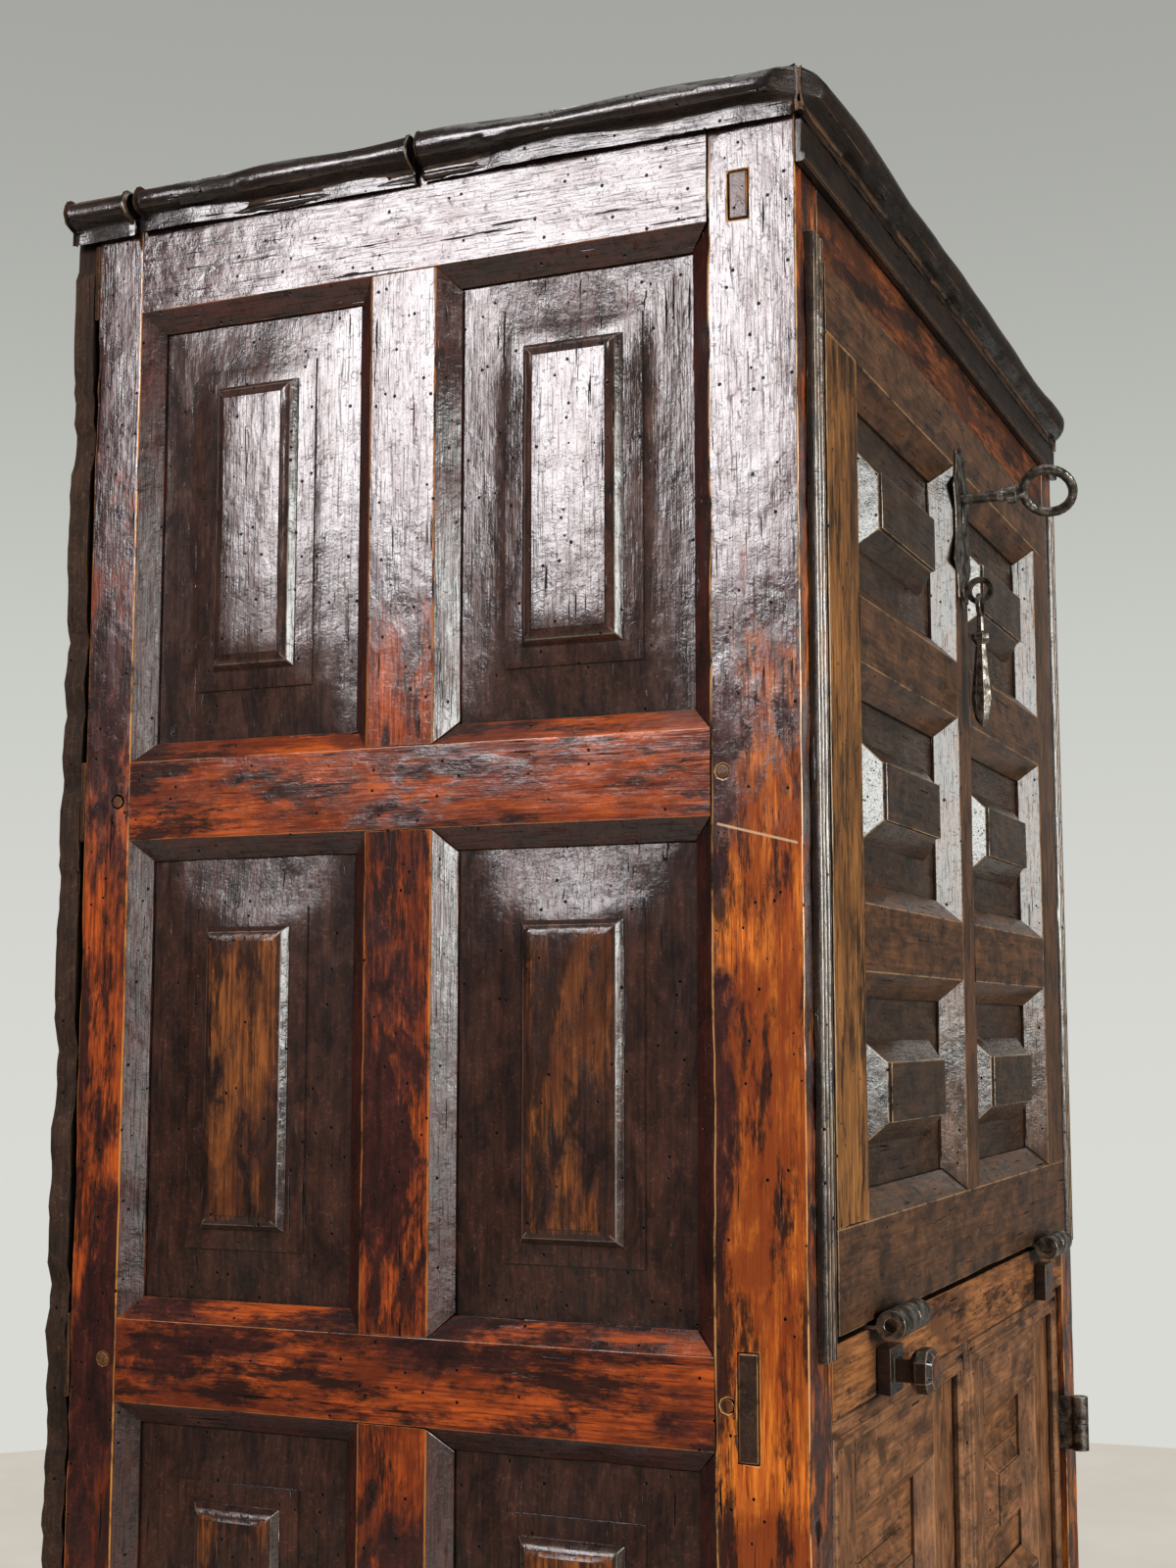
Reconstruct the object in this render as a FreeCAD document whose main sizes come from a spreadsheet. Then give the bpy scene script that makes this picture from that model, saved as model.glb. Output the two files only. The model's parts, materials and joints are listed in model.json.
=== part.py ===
import FreeCAD, Part
import os
import re
import Sketcher

# Fall-front cabinet: framed carcass, fall on barrel hinges over two panelled doors.
# Millimetres, floor at z = 0, front towards -Y, left and right mirrored about x = 0.
DIMENSIONS = {
    # carcass frame
    "total_high": 1532, "body_width": 760, "carcass_depth": 482, "post_across": 42,
    "post_front_flat": 54, "post_rear_flat": 34, "foot_high": 55, "bottom_rail_high": 54,
    "side_rail_high": 50, "top_rail_high": 65, "muntin_flat": 45, "front_opening": 177,
    "frame_thick": 28, "tenon_thick": 12, "tenon_in": 12, "tenon_long": 20,
    "through_in": 29, "through_thick": 12, "peg_wide": 8, "peg_deep": 10, "peg_in": 47,
    # bevels, grooves and fielded panels of the sides
    "bevel_wide": 13, "bevel_deep": 11, "lip": 2, "groove_wide": 6, "groove_deep": 8,
    "tongue_gap": 1, "field_wide": 31, "field_rise": 3.2, "field_step": 1.5, "band_wide": 12,
    "cove_wide": 9, "tablet_in": 0.5, "ground_wide": 30, "ground_tall": 26, "slope_wide": 13,
    "slope_tall": 13, "block_rise": 2, "crest_in": 3.5,
    # top and back
    "cornice_high": 32, "cornice_reach": 19, "cornice_lap": 12, "cornice_split": 240,
    "cornice_tail": 1,
    "fascia_high": 26, "fascia_thick": 4, "batten_thick": 4, "batten_high": 52,
    "board_thick": 16, "board_gap": 2, "board_rise": 24,
    # front rails and inside boards
    "front_rail_deep": 46, "frieze_high": 68, "desk_lift": 3.6, "mid_rail_high": 58.6,
    "mid_face_high": 40.6, "low_rail_high": 60, "low_face_high": 41.5, "shelf_thick": 13,
    "shelf_drop": 19, "bearer_wide": 20, "bearer_high": 20, "reed_wide": 20, "reed_in": 16,
    "reed_proud": 6,
    # fall
    "fall_side_gap": 2, "fall_top_gap": 2, "hinge_gap": 4.8, "fall_thick": 30, "fall_proud": 4,
    "fall_bevel": 15, "fall_top_flat": 42, "fall_low_flat": 58, "fall_stile_flat": 64,
    "fall_muntin_flat": 37, "fall_mid_flat": 41, "stop_wide": 12, "stop_deep": 18,
    "stop_gap": 0.4,
    # doors
    "door_in": 10, "door_thick": 26, "door_edge_gap": 5, "door_centre_gap": 4.5, "door_gap": 1.5,
    "door_stile_flat": 72, "door_end_flat": 64, "door_mid_flat": 55, "door_reed_wide": 20,
    "door_reed_proud": 7,
    # fall and door hinges
    "barrel_wide": 18, "barrel_fixed": 36, "barrel_moving": 26, "barrel_bore": 8,
    "pin_slack": 0.16, "barrel_ahead": 13.5, "barrel_in": 104, "leaf_thick": 2, "leaf_deep": 22,
    "door_barrel_wide": 14, "door_barrel_high": 44, "door_barrel_ahead": 12, "door_bore": 5,
    "door_hinge_in": 90,
    # slides under the fall
    "loper_wide": 22, "loper_high": 24, "loper_long": 330, "loper_in": 103,
    "loper_drop": 14.6, "loper_slack": 0.6, "guide_wall": 10, "guide_base": 5, "guide_long": 330,
    "collar_wide": 28, "collar_thick": 9, "neck_wide": 14, "neck_long": 10, "head_long": 14,
    "head_ease": 3.5,
    # lock, key and drop pull
    "plate_wide": 50, "plate_high": 122, "plate_drop": 26, "plate_thick": 1.5, "keyhole_drop": 66,
    "shank_wide": 8, "key_reach": 89, "bow_wide": 42, "bow_wire": 6.5, "case_wide": 70,
    "case_high": 88, "case_deep": 15, "case_wall": 1.5, "bolt_wide": 22, "bolt_thick": 6,
    "bolt_long": 80, "pull_drop": 135, "eye_wide": 16, "eye_wire": 4, "pull_long": 100,
    "pull_wide": 16, "link_wide": 14.8, "link_wire": 3.2,
}

SUMS = {
    "half": "body_width / 2",
    "opening_high": "(total_high - cornice_high + cornice_lap - foot_high - bottom_rail_high"
                    " - 3 * side_rail_high - top_rail_high) / 4",
    "front_y": "key_reach / 2 - (carcass_depth + batten_thick + board_thick + cornice_tail) / 2",
    "post_front": "post_front_flat + bevel_wide",
    "post_rear": "carcass_depth - post_rear_flat - bevel_wide",
    "pitch": "opening_high + side_rail_high",
    "first_opening": "foot_high + bottom_rail_high",
    "post_high": "first_opening + 4 * pitch - side_rail_high + top_rail_high",
    "datum": "post_high - cornice_lap",
    "groove_in": "bevel_deep + lip",
    "rear_opening": "carcass_depth - post_front_flat - post_rear_flat - muntin_flat - front_opening",
    "rear_start": "post_front_flat + front_opening + muntin_flat",
    "sight_high": "opening_high - 2 * bevel_wide",
    "desk_high": "first_opening + 2 * pitch + desk_lift",
    "inner_wide": "body_width - 2 * post_across",
    "fall_wide": "inner_wide - 2 * fall_side_gap",
    "fall_low": "desk_high + hinge_gap",
    "fall_high": "datum - frieze_high - fall_top_gap - fall_low",
    "fall_row": "(fall_high - fall_top_flat - fall_low_flat - 2 * fall_mid_flat) / 3",
    "fall_column": "(fall_wide - 2 * fall_stile_flat - fall_muntin_flat) / 2",
    "door_low": "foot_high + low_face_high + door_gap",
    "door_high": "desk_high - mid_face_high - door_gap - door_low",
    "door_wide": "inner_wide / 2 - door_edge_gap - door_centre_gap / 2",
    "door_row": "(door_high - 2 * door_end_flat - 2 * door_mid_flat) / 3",
    "door_column": "door_wide - 2 * door_stile_flat",
    "door_back": "door_in + door_thick + 1",
    "axis_rise": "desk_high + hinge_gap / 2",
    "loper_low": "desk_high - loper_drop - loper_high",
    "keyhole_rise": "datum - frieze_high - keyhole_drop",
    "pull_rise": "datum - frieze_high - pull_drop",
    "loper_across": "inner_wide / 2 - loper_in",
    "barrel_across": "inner_wide / 2 - barrel_in",
    "board_wide": "(body_width - 4 * board_gap) / 5",
}

doc = FreeCAD.newDocument("FallFrontCabinet")
sheet = doc.addObject("Spreadsheet::Sheet", "Dims")
for row, (alias, number) in enumerate(DIMENSIONS.items(), 1):
    sheet.set("A%d" % row, alias)
    sheet.set("B%d" % row, str(number))
    sheet.setAlias("B%d" % row, alias)
doc.recompute()


def ex(text):
    """Put the sheet's name before every size named in an expression."""
    def named(match):
        word = match.group()
        if word in DIMENSIONS:
            return "Dims." + word
        return "Sums." + word if word in SUMS else word
    return re.sub(r"[a-z][a-z_0-9]*", named, str(text))


sums = doc.addObject("Spreadsheet::Sheet", "Sums")
for row, (alias, formula) in enumerate(SUMS.items(), 1):
    sums.set("A%d" % row, alias)
    sums.set("B%d" % row, "=" + ex(formula).replace("Sums.", ""))
    sums.setAlias("B%d" % row, alias)
    doc.recompute()

TURN = FreeCAD.Rotation(FreeCAD.Vector(0, 0, 1), 90)
nodes = []


def value(text):
    return float(sheet.evalExpression(ex(text)))


def bind(thing, prop, text):
    thing.setExpression(prop, ex(text))


def place(thing, x, y, z, rotation=None):
    if rotation:
        thing.Placement = FreeCAD.Placement(FreeCAD.Vector(), rotation)
    for axis, text in zip("xyz", (x, y, z)):
        bind(thing, "Placement.Base." + axis, text)
    return thing


def carcass(thing):
    """Place a body drawn from the left outer face, the front plane and the floor."""
    return place(thing, "-half", "front_y", "0")


def node(thing, label):
    thing.Label = label
    nodes.append(thing)
    return thing


def new_body(name):
    return doc.addObject("PartDesign::Body", name)


def blank_sketch(body, plane, start="0"):
    sketch = body.newObject("Sketcher::SketchObject", body.Name + "_sketch")
    support = [f for f in body.Origin.OriginFeatures if f.Role == plane + "_Plane"][0]
    sketch.AttachmentSupport = [(support, "")]
    sketch.MapMode = "FlatFace"
    if start != "0":
        bind(sketch, "AttachmentOffset.Base.z", ("-(%s)" if plane == "XZ" else "%s") % start)
    return sketch


def outline(body, plane, points, start="0"):
    """Closed outline through points given as pairs of expressions, each one held by the sheet."""
    sketch = blank_sketch(body, plane, start)
    spots = [FreeCAD.Vector(value(u), value(v), 0) for u, v in points]
    lines = [Part.LineSegment(a, b) for a, b in zip(spots, spots[1:] + spots[:1])]
    sketch.addGeometry(lines, False)
    count = len(points)
    ties = [Sketcher.Constraint("Coincident", i, 2, (i + 1) % count, 1) for i in range(count)]
    held = []
    for i, point in enumerate(points):
        for text, kind, axis in zip(point, ("DistanceX", "DistanceY"), (-2, -1)):
            if text == "0":
                ties.append(Sketcher.Constraint("PointOnObject", i, 1, axis))
            else:
                held.append((len(ties), text))
                ties.append(Sketcher.Constraint(kind, -1, 1, i, 1, value(text)))
    sketch.addConstraint(ties)
    for index, text in held:
        bind(sketch, "Constraints[%d]" % index, text)
    return sketch


def shares(text, wide, high):
    """Outline points from pairs of shares of two sizes, written u:v."""
    points = []
    for spot in text.split():
        u, v = spot.split(":")
        points.append((u if u == "0" else "%s * %s" % (wide, u), v if v == "0" else "%s * %s" % (high, v)))
    return points


def pad(body, plane, sketch, length):
    feature = body.newObject("PartDesign::Pad", body.Name + "_pad")
    feature.Profile = sketch
    feature.Reversed = plane == "XZ"
    bind(feature, "Length", length)
    return body


def cut_through(body, plane, points):
    feature = body.newObject("PartDesign::Pocket", body.Name + "_cut")
    feature.Profile = outline(body, plane, points)
    feature.Reversed = plane != "XZ"
    feature.Type = "ThroughAll"
    return body


def block(body, kind, x, y, z, dx, dy, dz):
    feature = body.newObject("PartDesign::%sBox" % kind, body.Name + "_block")
    for prop, text in zip(("Length", "Width", "Height"), (dx, dy, dz)):
        bind(feature, prop, text)
    for axis, text in zip("xyz", (x, y, z)):
        bind(feature, "Placement.Base." + axis, text)
    return body


def drill(body, kind, x, y, z, radius, length, rotation=None, sides=0):
    """Round bar or hole along Z, or one with flat sides where a number of them is given."""
    form = "Prism" if sides else "Cylinder"
    feature = body.newObject("PartDesign::" + kind + form, body.Name + "_round")
    if rotation:
        feature.Placement = FreeCAD.Placement(FreeCAD.Vector(), rotation)
    if sides:
        feature.Polygon = sides
    bind(feature, "Circumradius" if sides else "Radius", radius)
    bind(feature, "Height", length)
    for axis, text in zip("xyz", (x, y, z)):
        bind(feature, "Placement.Base." + axis, text)
    return body


SIX_SIDED = "-.5:-.25 0:-.5 .5:-.25 .5:.25 0:.5 -.5:.25"
SQUARE = "-.5:-.5 .5:-.5 .5:.5 -.5:.5"


def hoop(body, plane, axis, radius, wire, section=SIX_SIDED, start="0"):
    """Forged ring about the named axis of the plane on which its section is drawn, in shares of the wire."""
    points = []
    for spot in section.split():
        out, along = ("(%s) * (%s)" % (wire, share) for share in spot.split(":"))
        away = "%s + %s" % (radius, out)
        points.append((along, away) if axis == "H_Axis" else (away, along))
    sketch = outline(body, plane, points, start)
    feature = body.newObject("PartDesign::Revolution", body.Name + "_hoop")
    feature.Profile = sketch
    feature.ReferenceAxis = (sketch, [axis])
    feature.Angle = 360
    return sketch


EIGHT_SIDED = ".92:.38 .38:.92 -.38:.92 -.92:.38 -.92:-.38 -.38:-.92 .38:-.92 .92:-.38"


def hammered(body, rings):
    """Upright bar hammered to eight flats, through rings given as (radius, height)."""
    sketches = [outline(body, "XY", shares(EIGHT_SIDED, radius, radius), height) for radius, height in rings]
    feature = body.newObject("PartDesign::AdditiveLoft", body.Name + "_bar")
    feature.Profile = sketches[0]
    feature.Sections = sketches[1:]
    feature.Ruled = True
    return body


def cluster(name, spots):
    """Separate solids held together: (body, x, y, z, rotation) for each."""
    links = []
    for i, (source, x, y, z, rotation) in enumerate(spots):
        link = doc.addObject("App::Link", "%s_%d" % (name, i))
        link.LinkedObject = source
        links.append(place(link, x, y, z, rotation))
    group = doc.addObject("Part::Compound", name + "_group")
    group.Links = links
    return group


def copies(label, spots):
    return node(cluster(label, spots), label)


def reflection(source, name):
    mirror = doc.addObject("Part::Mirroring", name + "_mirror")
    mirror.Source = source
    mirror.Normal = FreeCAD.Vector(1, 0, 0)
    mirror.Base = FreeCAD.Vector(0, 0, 0)
    return mirror


def mirrored(source, label):
    return node(reflection(source, label), label)


def pair(label, left):
    """One node holding left-hand solids and their mirror images."""
    group = doc.addObject("Part::Compound", label + "_pair")
    group.Links = [left, reflection(left, label)]
    return node(group, label)


RX90 = FreeCAD.Rotation(FreeCAD.Vector(1, 0, 0), 90)
RY90 = FreeCAD.Rotation(FreeCAD.Vector(0, 1, 0), 90)


class Frame:
    """Sizes of one kind of bevelled, grooved framing; depth runs in from the face."""

    def __init__(self, thick, wide, deep):
        self.thick = thick
        self.wide = wide
        self.deep = deep
        self.groove = "(%s + lip)" % deep
        self.back = "(%s + lip + groove_wide)" % deep

    def section(self, total, low, high):
        points = [("0", "0"), (self.thick, "0")]
        if low:
            points = [("0", self.wide), (self.deep, "0"), (self.groove, "0"),
                      (self.groove, "groove_deep"), (self.back, "groove_deep"), (self.back, "0"),
                      (self.thick, "0")]
        if not high:
            return points + [(self.thick, total), ("0", total)]
        inner = "%s - groove_deep" % total
        return points + [(self.thick, total), (self.back, total), (self.back, inner),
                         (self.groove, inner), (self.groove, total), (self.deep, total),
                         ("0", "%s - %s" % (total, self.wide))]

    def low_end(self, stub):
        points = [("0", "0"), (self.deep, self.wide)]
        if stub:
            root = "%s - groove_deep" % self.wide
            points += [(self.groove, self.wide), (self.groove, root), (self.back, root),
                       (self.back, self.wide)]
        return points + [(self.thick, self.wide), (self.thick, "0")]

    def high_end(self, length, stub):
        return [(u, length if v == "0" else "%s - (%s)" % (length, v))
                for u, v in self.low_end(stub)]

    def rail(self, name, total, length, low, high, ends=True, stub=True):
        """Lies along Y, face at x = 0, its height along Z."""
        body = new_body(name)
        pad(body, "XZ", outline(body, "XZ", self.section(total, low, high)), length)
        if ends:
            cut_through(body, "XY", self.low_end(stub))
            cut_through(body, "XY", self.high_end(length, stub))
        return body

    def upright(self, name, total, length, low, high, ends=True):
        """Stands along Z, face at x = 0, its width along Y."""
        body = new_body(name)
        pad(body, "XY", outline(body, "XY", self.section(total, low, high)), length)
        if not ends:
            return body
        cut_through(body, "XZ", self.low_end(True))
        cut_through(body, "XZ", self.high_end(length, True))
        return body

    def panel(self, name, wide, high, across, upward):
        """Raised panel for a flat-to-flat opening; steps are (distance in, depth) pairs."""
        body = new_body(name)
        bite = "groove_deep - tongue_gap"
        total = "(%s - 2 * %s + 2 * (%s))" % (wide, self.wide, bite)
        tall = "(%s - 2 * %s + 2 * (%s))" % (high, self.wide, bite)
        near = [(depth, "%s + %s" % (bite, inset)) for inset, depth in across]
        far = [(depth, "%s - (%s + %s)" % (total, bite, inset)) for inset, depth in across[::-1]]
        pad(body, "XY", outline(body, "XY", [(self.back, "0"), (self.groove, "0")] + near + far
                                + [(self.groove, total), (self.back, total)]), tall)
        near = [(depth, "%s + %s" % (bite, inset)) for inset, depth in upward]
        far = [(depth, "%s - (%s + %s)" % (tall, bite, inset)) for inset, depth in upward[::-1]]
        cut_through(body, "XZ", [("0", "0"), (self.groove, "0")] + near + far
                    + [(self.groove, tall), ("0", tall)])
        return body


side = Frame("frame_thick", "bevel_wide", "bevel_deep")
leaf = Frame("fall_thick", "fall_bevel", "fall_bevel")
door = Frame("door_thick", "bevel_wide", "bevel_deep")


# Corner posts: bevelled and grooved towards the panels, mortised for every rail.
RAIL_LEVELS = ["foot_high"] + ["first_opening + %d * pitch - side_rail_high" % i for i in (1, 2, 3)]
RAIL_LEVELS += ["post_high - top_rail_high"]
RAIL_HEIGHTS = ["bottom_rail_high"] + ["side_rail_high"] * 3 + ["top_rail_high - cornice_lap"]


def bevelled_post(name, deep, edge, inward):
    """Square blank with the bevel and panel groove run above the foot."""
    body = new_body(name)
    pad(body, "XY", outline(body, "XY", [("0", "0"), ("post_across", "0"), ("post_across", deep),
                                         ("0", deep)]), "post_high")
    flat = "%s %s bevel_wide" % (edge, "-" if inward == "+" else "+")
    bed = "%s %s groove_deep" % (edge, "-" if inward == "+" else "+")
    feature = body.newObject("PartDesign::Pocket", name + "_bevel")
    feature.Profile = outline(body, "XY", [("0", flat), ("bevel_deep", edge), ("0", edge)],
                              "foot_high")
    feature.Reversed = True
    feature.Type = "ThroughAll"
    start = bed if inward == "+" else edge
    block(body, "Subtractive", "groove_in", start, "foot_high", "groove_wide", "groove_deep",
          "post_high - foot_high")
    for level, height in zip(RAIL_LEVELS, RAIL_HEIGHTS):
        where = "%s - tenon_long" % edge if inward == "+" else edge
        block(body, "Subtractive", "tenon_in", where, level, "tenon_thick", "tenon_long", height)
    return body


front_post = carcass(bevelled_post("front_post", "post_front", "post_front", "+"))
THROUGH = [("foot_high + 5", "low_face_high - 5"),
           ("desk_high - mid_rail_high", "mid_rail_high"),
           ("datum - 54", "29")]
for level, height in THROUGH:
    block(front_post, "Subtractive", "0", "through_in", level, "post_across", "through_thick", height)
rear_blank = "carcass_depth - post_rear"
rear_post = bevelled_post("rear_post", rear_blank, "0", "-")
place(rear_post, "-half", "front_y + post_rear", "0")

pegs = []
peg = drill(new_body("peg"), "Additive", "0", "0", "0", "peg_wide / 2", "peg_deep", RY90, 8)
for level, height in zip(RAIL_LEVELS, RAIL_HEIGHTS):
    mid = "%s + %s / 2" % (level, height)
    drill(front_post, "Subtractive", "0", "peg_in", mid, "peg_wide / 2", "peg_deep", RY90, 8)
    drill(rear_post, "Subtractive", "0", "bevel_wide + 9", mid, "peg_wide / 2", "peg_deep", RY90, 8)
    pegs.append((peg, "-half", "front_y + peg_in", mid, None))
    pegs.append((peg, "-half", "front_y + post_rear + bevel_wide + 9", mid, None))
node(front_post, "front_post_left")
mirrored(front_post, "front_post_right")
node(rear_post, "rear_post_left")
mirrored(rear_post, "rear_post_right")
pair("joint_pegs", cluster("pegs", pegs))

# Side frames: rails between the posts, short muntins between the rails, floating fielded panels.
span = "(carcass_depth - post_front_flat - post_rear_flat)"
mid_total = "(side_rail_high + 2 * bevel_wide)"
low_total = "(bottom_rail_high + bevel_wide)"
top_total = "(top_rail_high + bevel_wide)"


def side_rail(name, total, flat_from, height, low, high):
    body = side.rail(name, total, span, low, high, True, False)
    for start in ("bevel_wide - tenon_long", span + " - bevel_wide"):
        block(body, "Additive", "tenon_in", start, flat_from, "tenon_thick", "tenon_long", height)
    return body


mid_rail = side_rail("side_mid_rail", mid_total, "bevel_wide", "side_rail_high", True, True)
low_rail = side_rail("side_low_rail", low_total, "0", "bottom_rail_high", False, True)
high_rail = side_rail("side_high_rail", top_total, "bevel_wide", "top_rail_high - cornice_lap",
                      True, False)
rail_y = "front_y + post_front_flat"
rails = [(low_rail, "-half", rail_y, RAIL_LEVELS[0], None)]
rails += [(mid_rail, "-half", rail_y, level + " - bevel_wide", None) for level in RAIL_LEVELS[1:4]]
rails += [(high_rail, "-half", rail_y, RAIL_LEVELS[4] + " - bevel_wide", None)]
side_rails = copies("side_rails_left", rails)
mirrored(side_rails, "side_rails_right")

muntin = side.upright("side_muntin", "(muntin_flat + 2 * bevel_wide)", "opening_high", True, True)
OPENINGS = ["first_opening + %d * pitch" % i for i in range(4)]
muntin_y = "front_y + post_front_flat + front_opening - bevel_wide"
muntins = copies("side_muntins_left", [(muntin, "-half", muntin_y, z, None) for z in OPENINGS])
mirrored(muntins, "side_muntins_right")

FIELD = [("0", "groove_in"),
         ("field_wide", "groove_in - field_rise"),
         ("field_wide", "groove_in - field_rise - field_step"),
         ("field_wide + band_wide", "groove_in - field_rise - field_step - 0.5"),
         ("field_wide + band_wide", "groove_in - field_rise - field_step - 1.5"),
         ("field_wide + band_wide + cove_wide * 0.35", "tablet_in + 2.4"),
         ("field_wide + band_wide + cove_wide * 0.7", "tablet_in + 1.1"),
         ("field_wide + band_wide + cove_wide", "tablet_in + 0.8"),
         ("field_wide + band_wide + cove_wide", "tablet_in")]
front_panel = side.panel("front_panel", "front_opening", "opening_high", FIELD, FIELD)
rear_panel = side.panel("rear_panel", "rear_opening", "opening_high", FIELD, FIELD)
inset = "bevel_wide - groove_deep + tongue_gap"
panels = []
for z in OPENINGS:
    panels.append((front_panel, "-half", "front_y + post_front_flat + " + inset, z + " + " + inset, None))
    panels.append((rear_panel, "-half", "front_y + rear_start + " + inset, z + " + " + inset, None))
side_panels = copies("side_panels_left", panels)
mirrored(side_panels, "side_panels_right")

# Rails across the front, tenoned right through the posts.
def front_rail(label, points, tenon):
    body = carcass(new_body(label))
    pad(body, "YZ", outline(body, "YZ", points, "post_across"), "inner_wide")
    for start in ("0", "body_width - post_across"):
        block(body, "Additive", start, "through_in", tenon[0], "post_across", "through_thick", tenon[1])
    return node(body, label)


face = "desk_high - mid_face_high"
sill = "desk_high - mid_rail_high"
front_rail("front_bottom_rail", [
    ("0", "foot_high"), ("front_rail_deep", "foot_high"),
    ("front_rail_deep", "foot_high + low_rail_high"), ("door_back", "foot_high + low_rail_high"),
    ("door_back", "foot_high + low_face_high"), ("0", "foot_high + low_face_high")], THROUGH[0])
desk_rail = front_rail("front_mid_rail", [
    ("0", face), ("door_back", face), ("door_back", sill), ("front_rail_deep", sill),
    ("front_rail_deep", "desk_high"), ("0", "desk_high")], THROUGH[1])
frieze = front_rail("front_top_rail", [
    ("0", "datum - frieze_high"), ("front_rail_deep", "datum - frieze_high"),
    ("front_rail_deep", "post_high"), ("0", "post_high")], THROUGH[2])
for sign in ("-", "+"):
    block(desk_rail, "Subtractive", "half %s loper_across - (loper_wide + loper_slack) / 2" % sign,
          "0", "loper_low - loper_slack / 2", "loper_wide + loper_slack", "front_rail_deep",
          "loper_high + loper_slack")
block(frieze, "Subtractive", "half - bolt_wide / 2 - 1", "fall_thick - fall_proud + 6",
      "datum - frieze_high", "bolt_wide + 2", "bolt_thick + 2.5", "14")

# Beaded fascia under the cornice and reeded strips beside the fall.
fascia = place(new_body("fascia"), "-half", "front_y - fascia_thick - 2", "datum - fascia_high")
pad(fascia, "YZ", outline(fascia, "YZ", [
    ("fascia_thick + 2", "0"), ("1", "0"), ("0", "1.5"), ("0", "4"), ("1", "5.5"), ("2.5", "6"),
    ("2", "fascia_high"), ("fascia_thick + 2", "fascia_high")]), "body_width")
node(fascia, "frieze_moulding")

reeds = [("0", "reed_proud")]
for i in range(3):
    for step, depth in ((0.04, 0.55), (0.25, 0.16), (0.5, 0.02), (0.75, 0.16), (0.96, 0.55)):
        reeds.append(("reed_wide * %.4f" % ((i + step) / 3), "reed_proud * %.2f" % depth))
reeds.append(("reed_wide", "reed_proud"))
reed = new_body("reed")
pad(reed, "XY", outline(reed, "XY", reeds), "datum - 61 - desk_high + 6")
copies("surround_moulding", [(reed, x, "front_y - reed_proud", "desk_high - 6", None)
                             for x in ("-half + reed_in", "half - reed_in - reed_wide")])

# Cornice mitred at the front corners; the left length is in three pieces as it has broken.
CORNICE = "1:0 .8:0 .68:.05 .64:.14 .7:.24 .48:.27 .2:.34 .05:.47 0:.62 .05:.78 .2:.92 .46:1 1:1"
cornice_points = shares(CORNICE, "cornice_reach", "cornice_high")


def cornice_side(name, length):
    body = new_body(name)
    return pad(body, "XZ", outline(body, "XZ", cornice_points), length)


cornice_front = place(new_body("cornice_run"), "-half - cornice_reach", "front_y - cornice_reach", "datum")
run = "(body_width + 2 * cornice_reach)"
pad(cornice_front, "YZ", outline(cornice_front, "YZ", cornice_points), run)
cut_through(cornice_front, "XY", [("0", "0"), ("0", "cornice_reach"), ("cornice_reach", "cornice_reach")])
cut_through(cornice_front, "XY", [(run, "0"), (run, "cornice_reach"),
                                  (run + " - cornice_reach", "cornice_reach")])
node(cornice_front, "cornice_front")

mitre = [("0", "0"), ("cornice_reach", "0"), ("cornice_reach", "cornice_reach")]
whole = "(cornice_reach + carcass_depth + batten_thick + board_thick + cornice_tail)"
tail_start = "(cornice_reach + carcass_depth - 32)"
near_piece = cut_through(cornice_side("cornice_near", "cornice_reach + cornice_split"), "XY", mitre)
middle_piece = cornice_side("cornice_middle", tail_start + " - cornice_reach - cornice_split - 4")
tail_piece = cornice_side("cornice_end", whole + " - " + tail_start)
edge_x = "-half - cornice_reach"
edge_y = "front_y - cornice_reach"
copies("cornice_left", [
    (near_piece, edge_x, edge_y, "datum", None),
    (middle_piece, edge_x, edge_y + " + cornice_reach + cornice_split + 2.5", "datum - 1", None),
    (tail_piece, edge_x, edge_y + " + " + tail_start, "datum - 2", None)])
right_piece = cut_through(cornice_side("cornice_whole", whole), "XY", mitre)
place(right_piece, edge_x, edge_y, "datum")
mirrored(right_piece, "cornice_right")


def slab(label, x, y, z, dx, dy, dz):
    body = carcass(new_body(label))
    far_x = "%s + %s" % (x, dx) if x != "0" else dx
    far_y = "%s + %s" % (y, dy) if y != "0" else dy
    return pad(body, "XY", outline(body, "XY", [(x, y), (far_x, y), (far_x, far_y), (x, far_y)], z), dz)


node(slab("lid", "0", "0", "post_high", "body_width",
          "carcass_depth + batten_thick + board_thick", "cornice_high - cornice_lap"), "top_board")

# Back: battens across the rear posts at every rail, upright boards nailed over them.
batten = slab("batten", "0", "carcass_depth", "0", "body_width", "batten_thick", "batten_high")
copies("back_battens", [(batten, "-half", "front_y", z, None) for z in RAIL_LEVELS])
board = slab("board", "0", "carcass_depth + batten_thick", "board_rise", "board_wide", "board_thick",
             "post_high - board_rise")
copies("back_boards", [(board, "-half + %d * (board_wide + board_gap)" % i, "front_y", "0", None)
                       for i in range(5)])


# Inside boards notched round the posts, carried on bearers along the side rails.
def shelf(label, top, front):
    near = "body_width - frame_thick"
    post = "body_width - post_across"
    points = [("post_across", front), (post, front), (post, "post_front"), (near, "post_front"),
              (near, "post_rear"), (post, "post_rear"), (post, "carcass_depth"),
              ("post_across", "carcass_depth"), ("post_across", "post_rear"),
              ("frame_thick", "post_rear"), ("frame_thick", "post_front"),
              ("post_across", "post_front")]
    body = carcass(new_body("shelf_" + label))
    pad(body, "XY", outline(body, "XY", points, top + " - shelf_thick"), "shelf_thick")
    return node(body, label)


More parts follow.
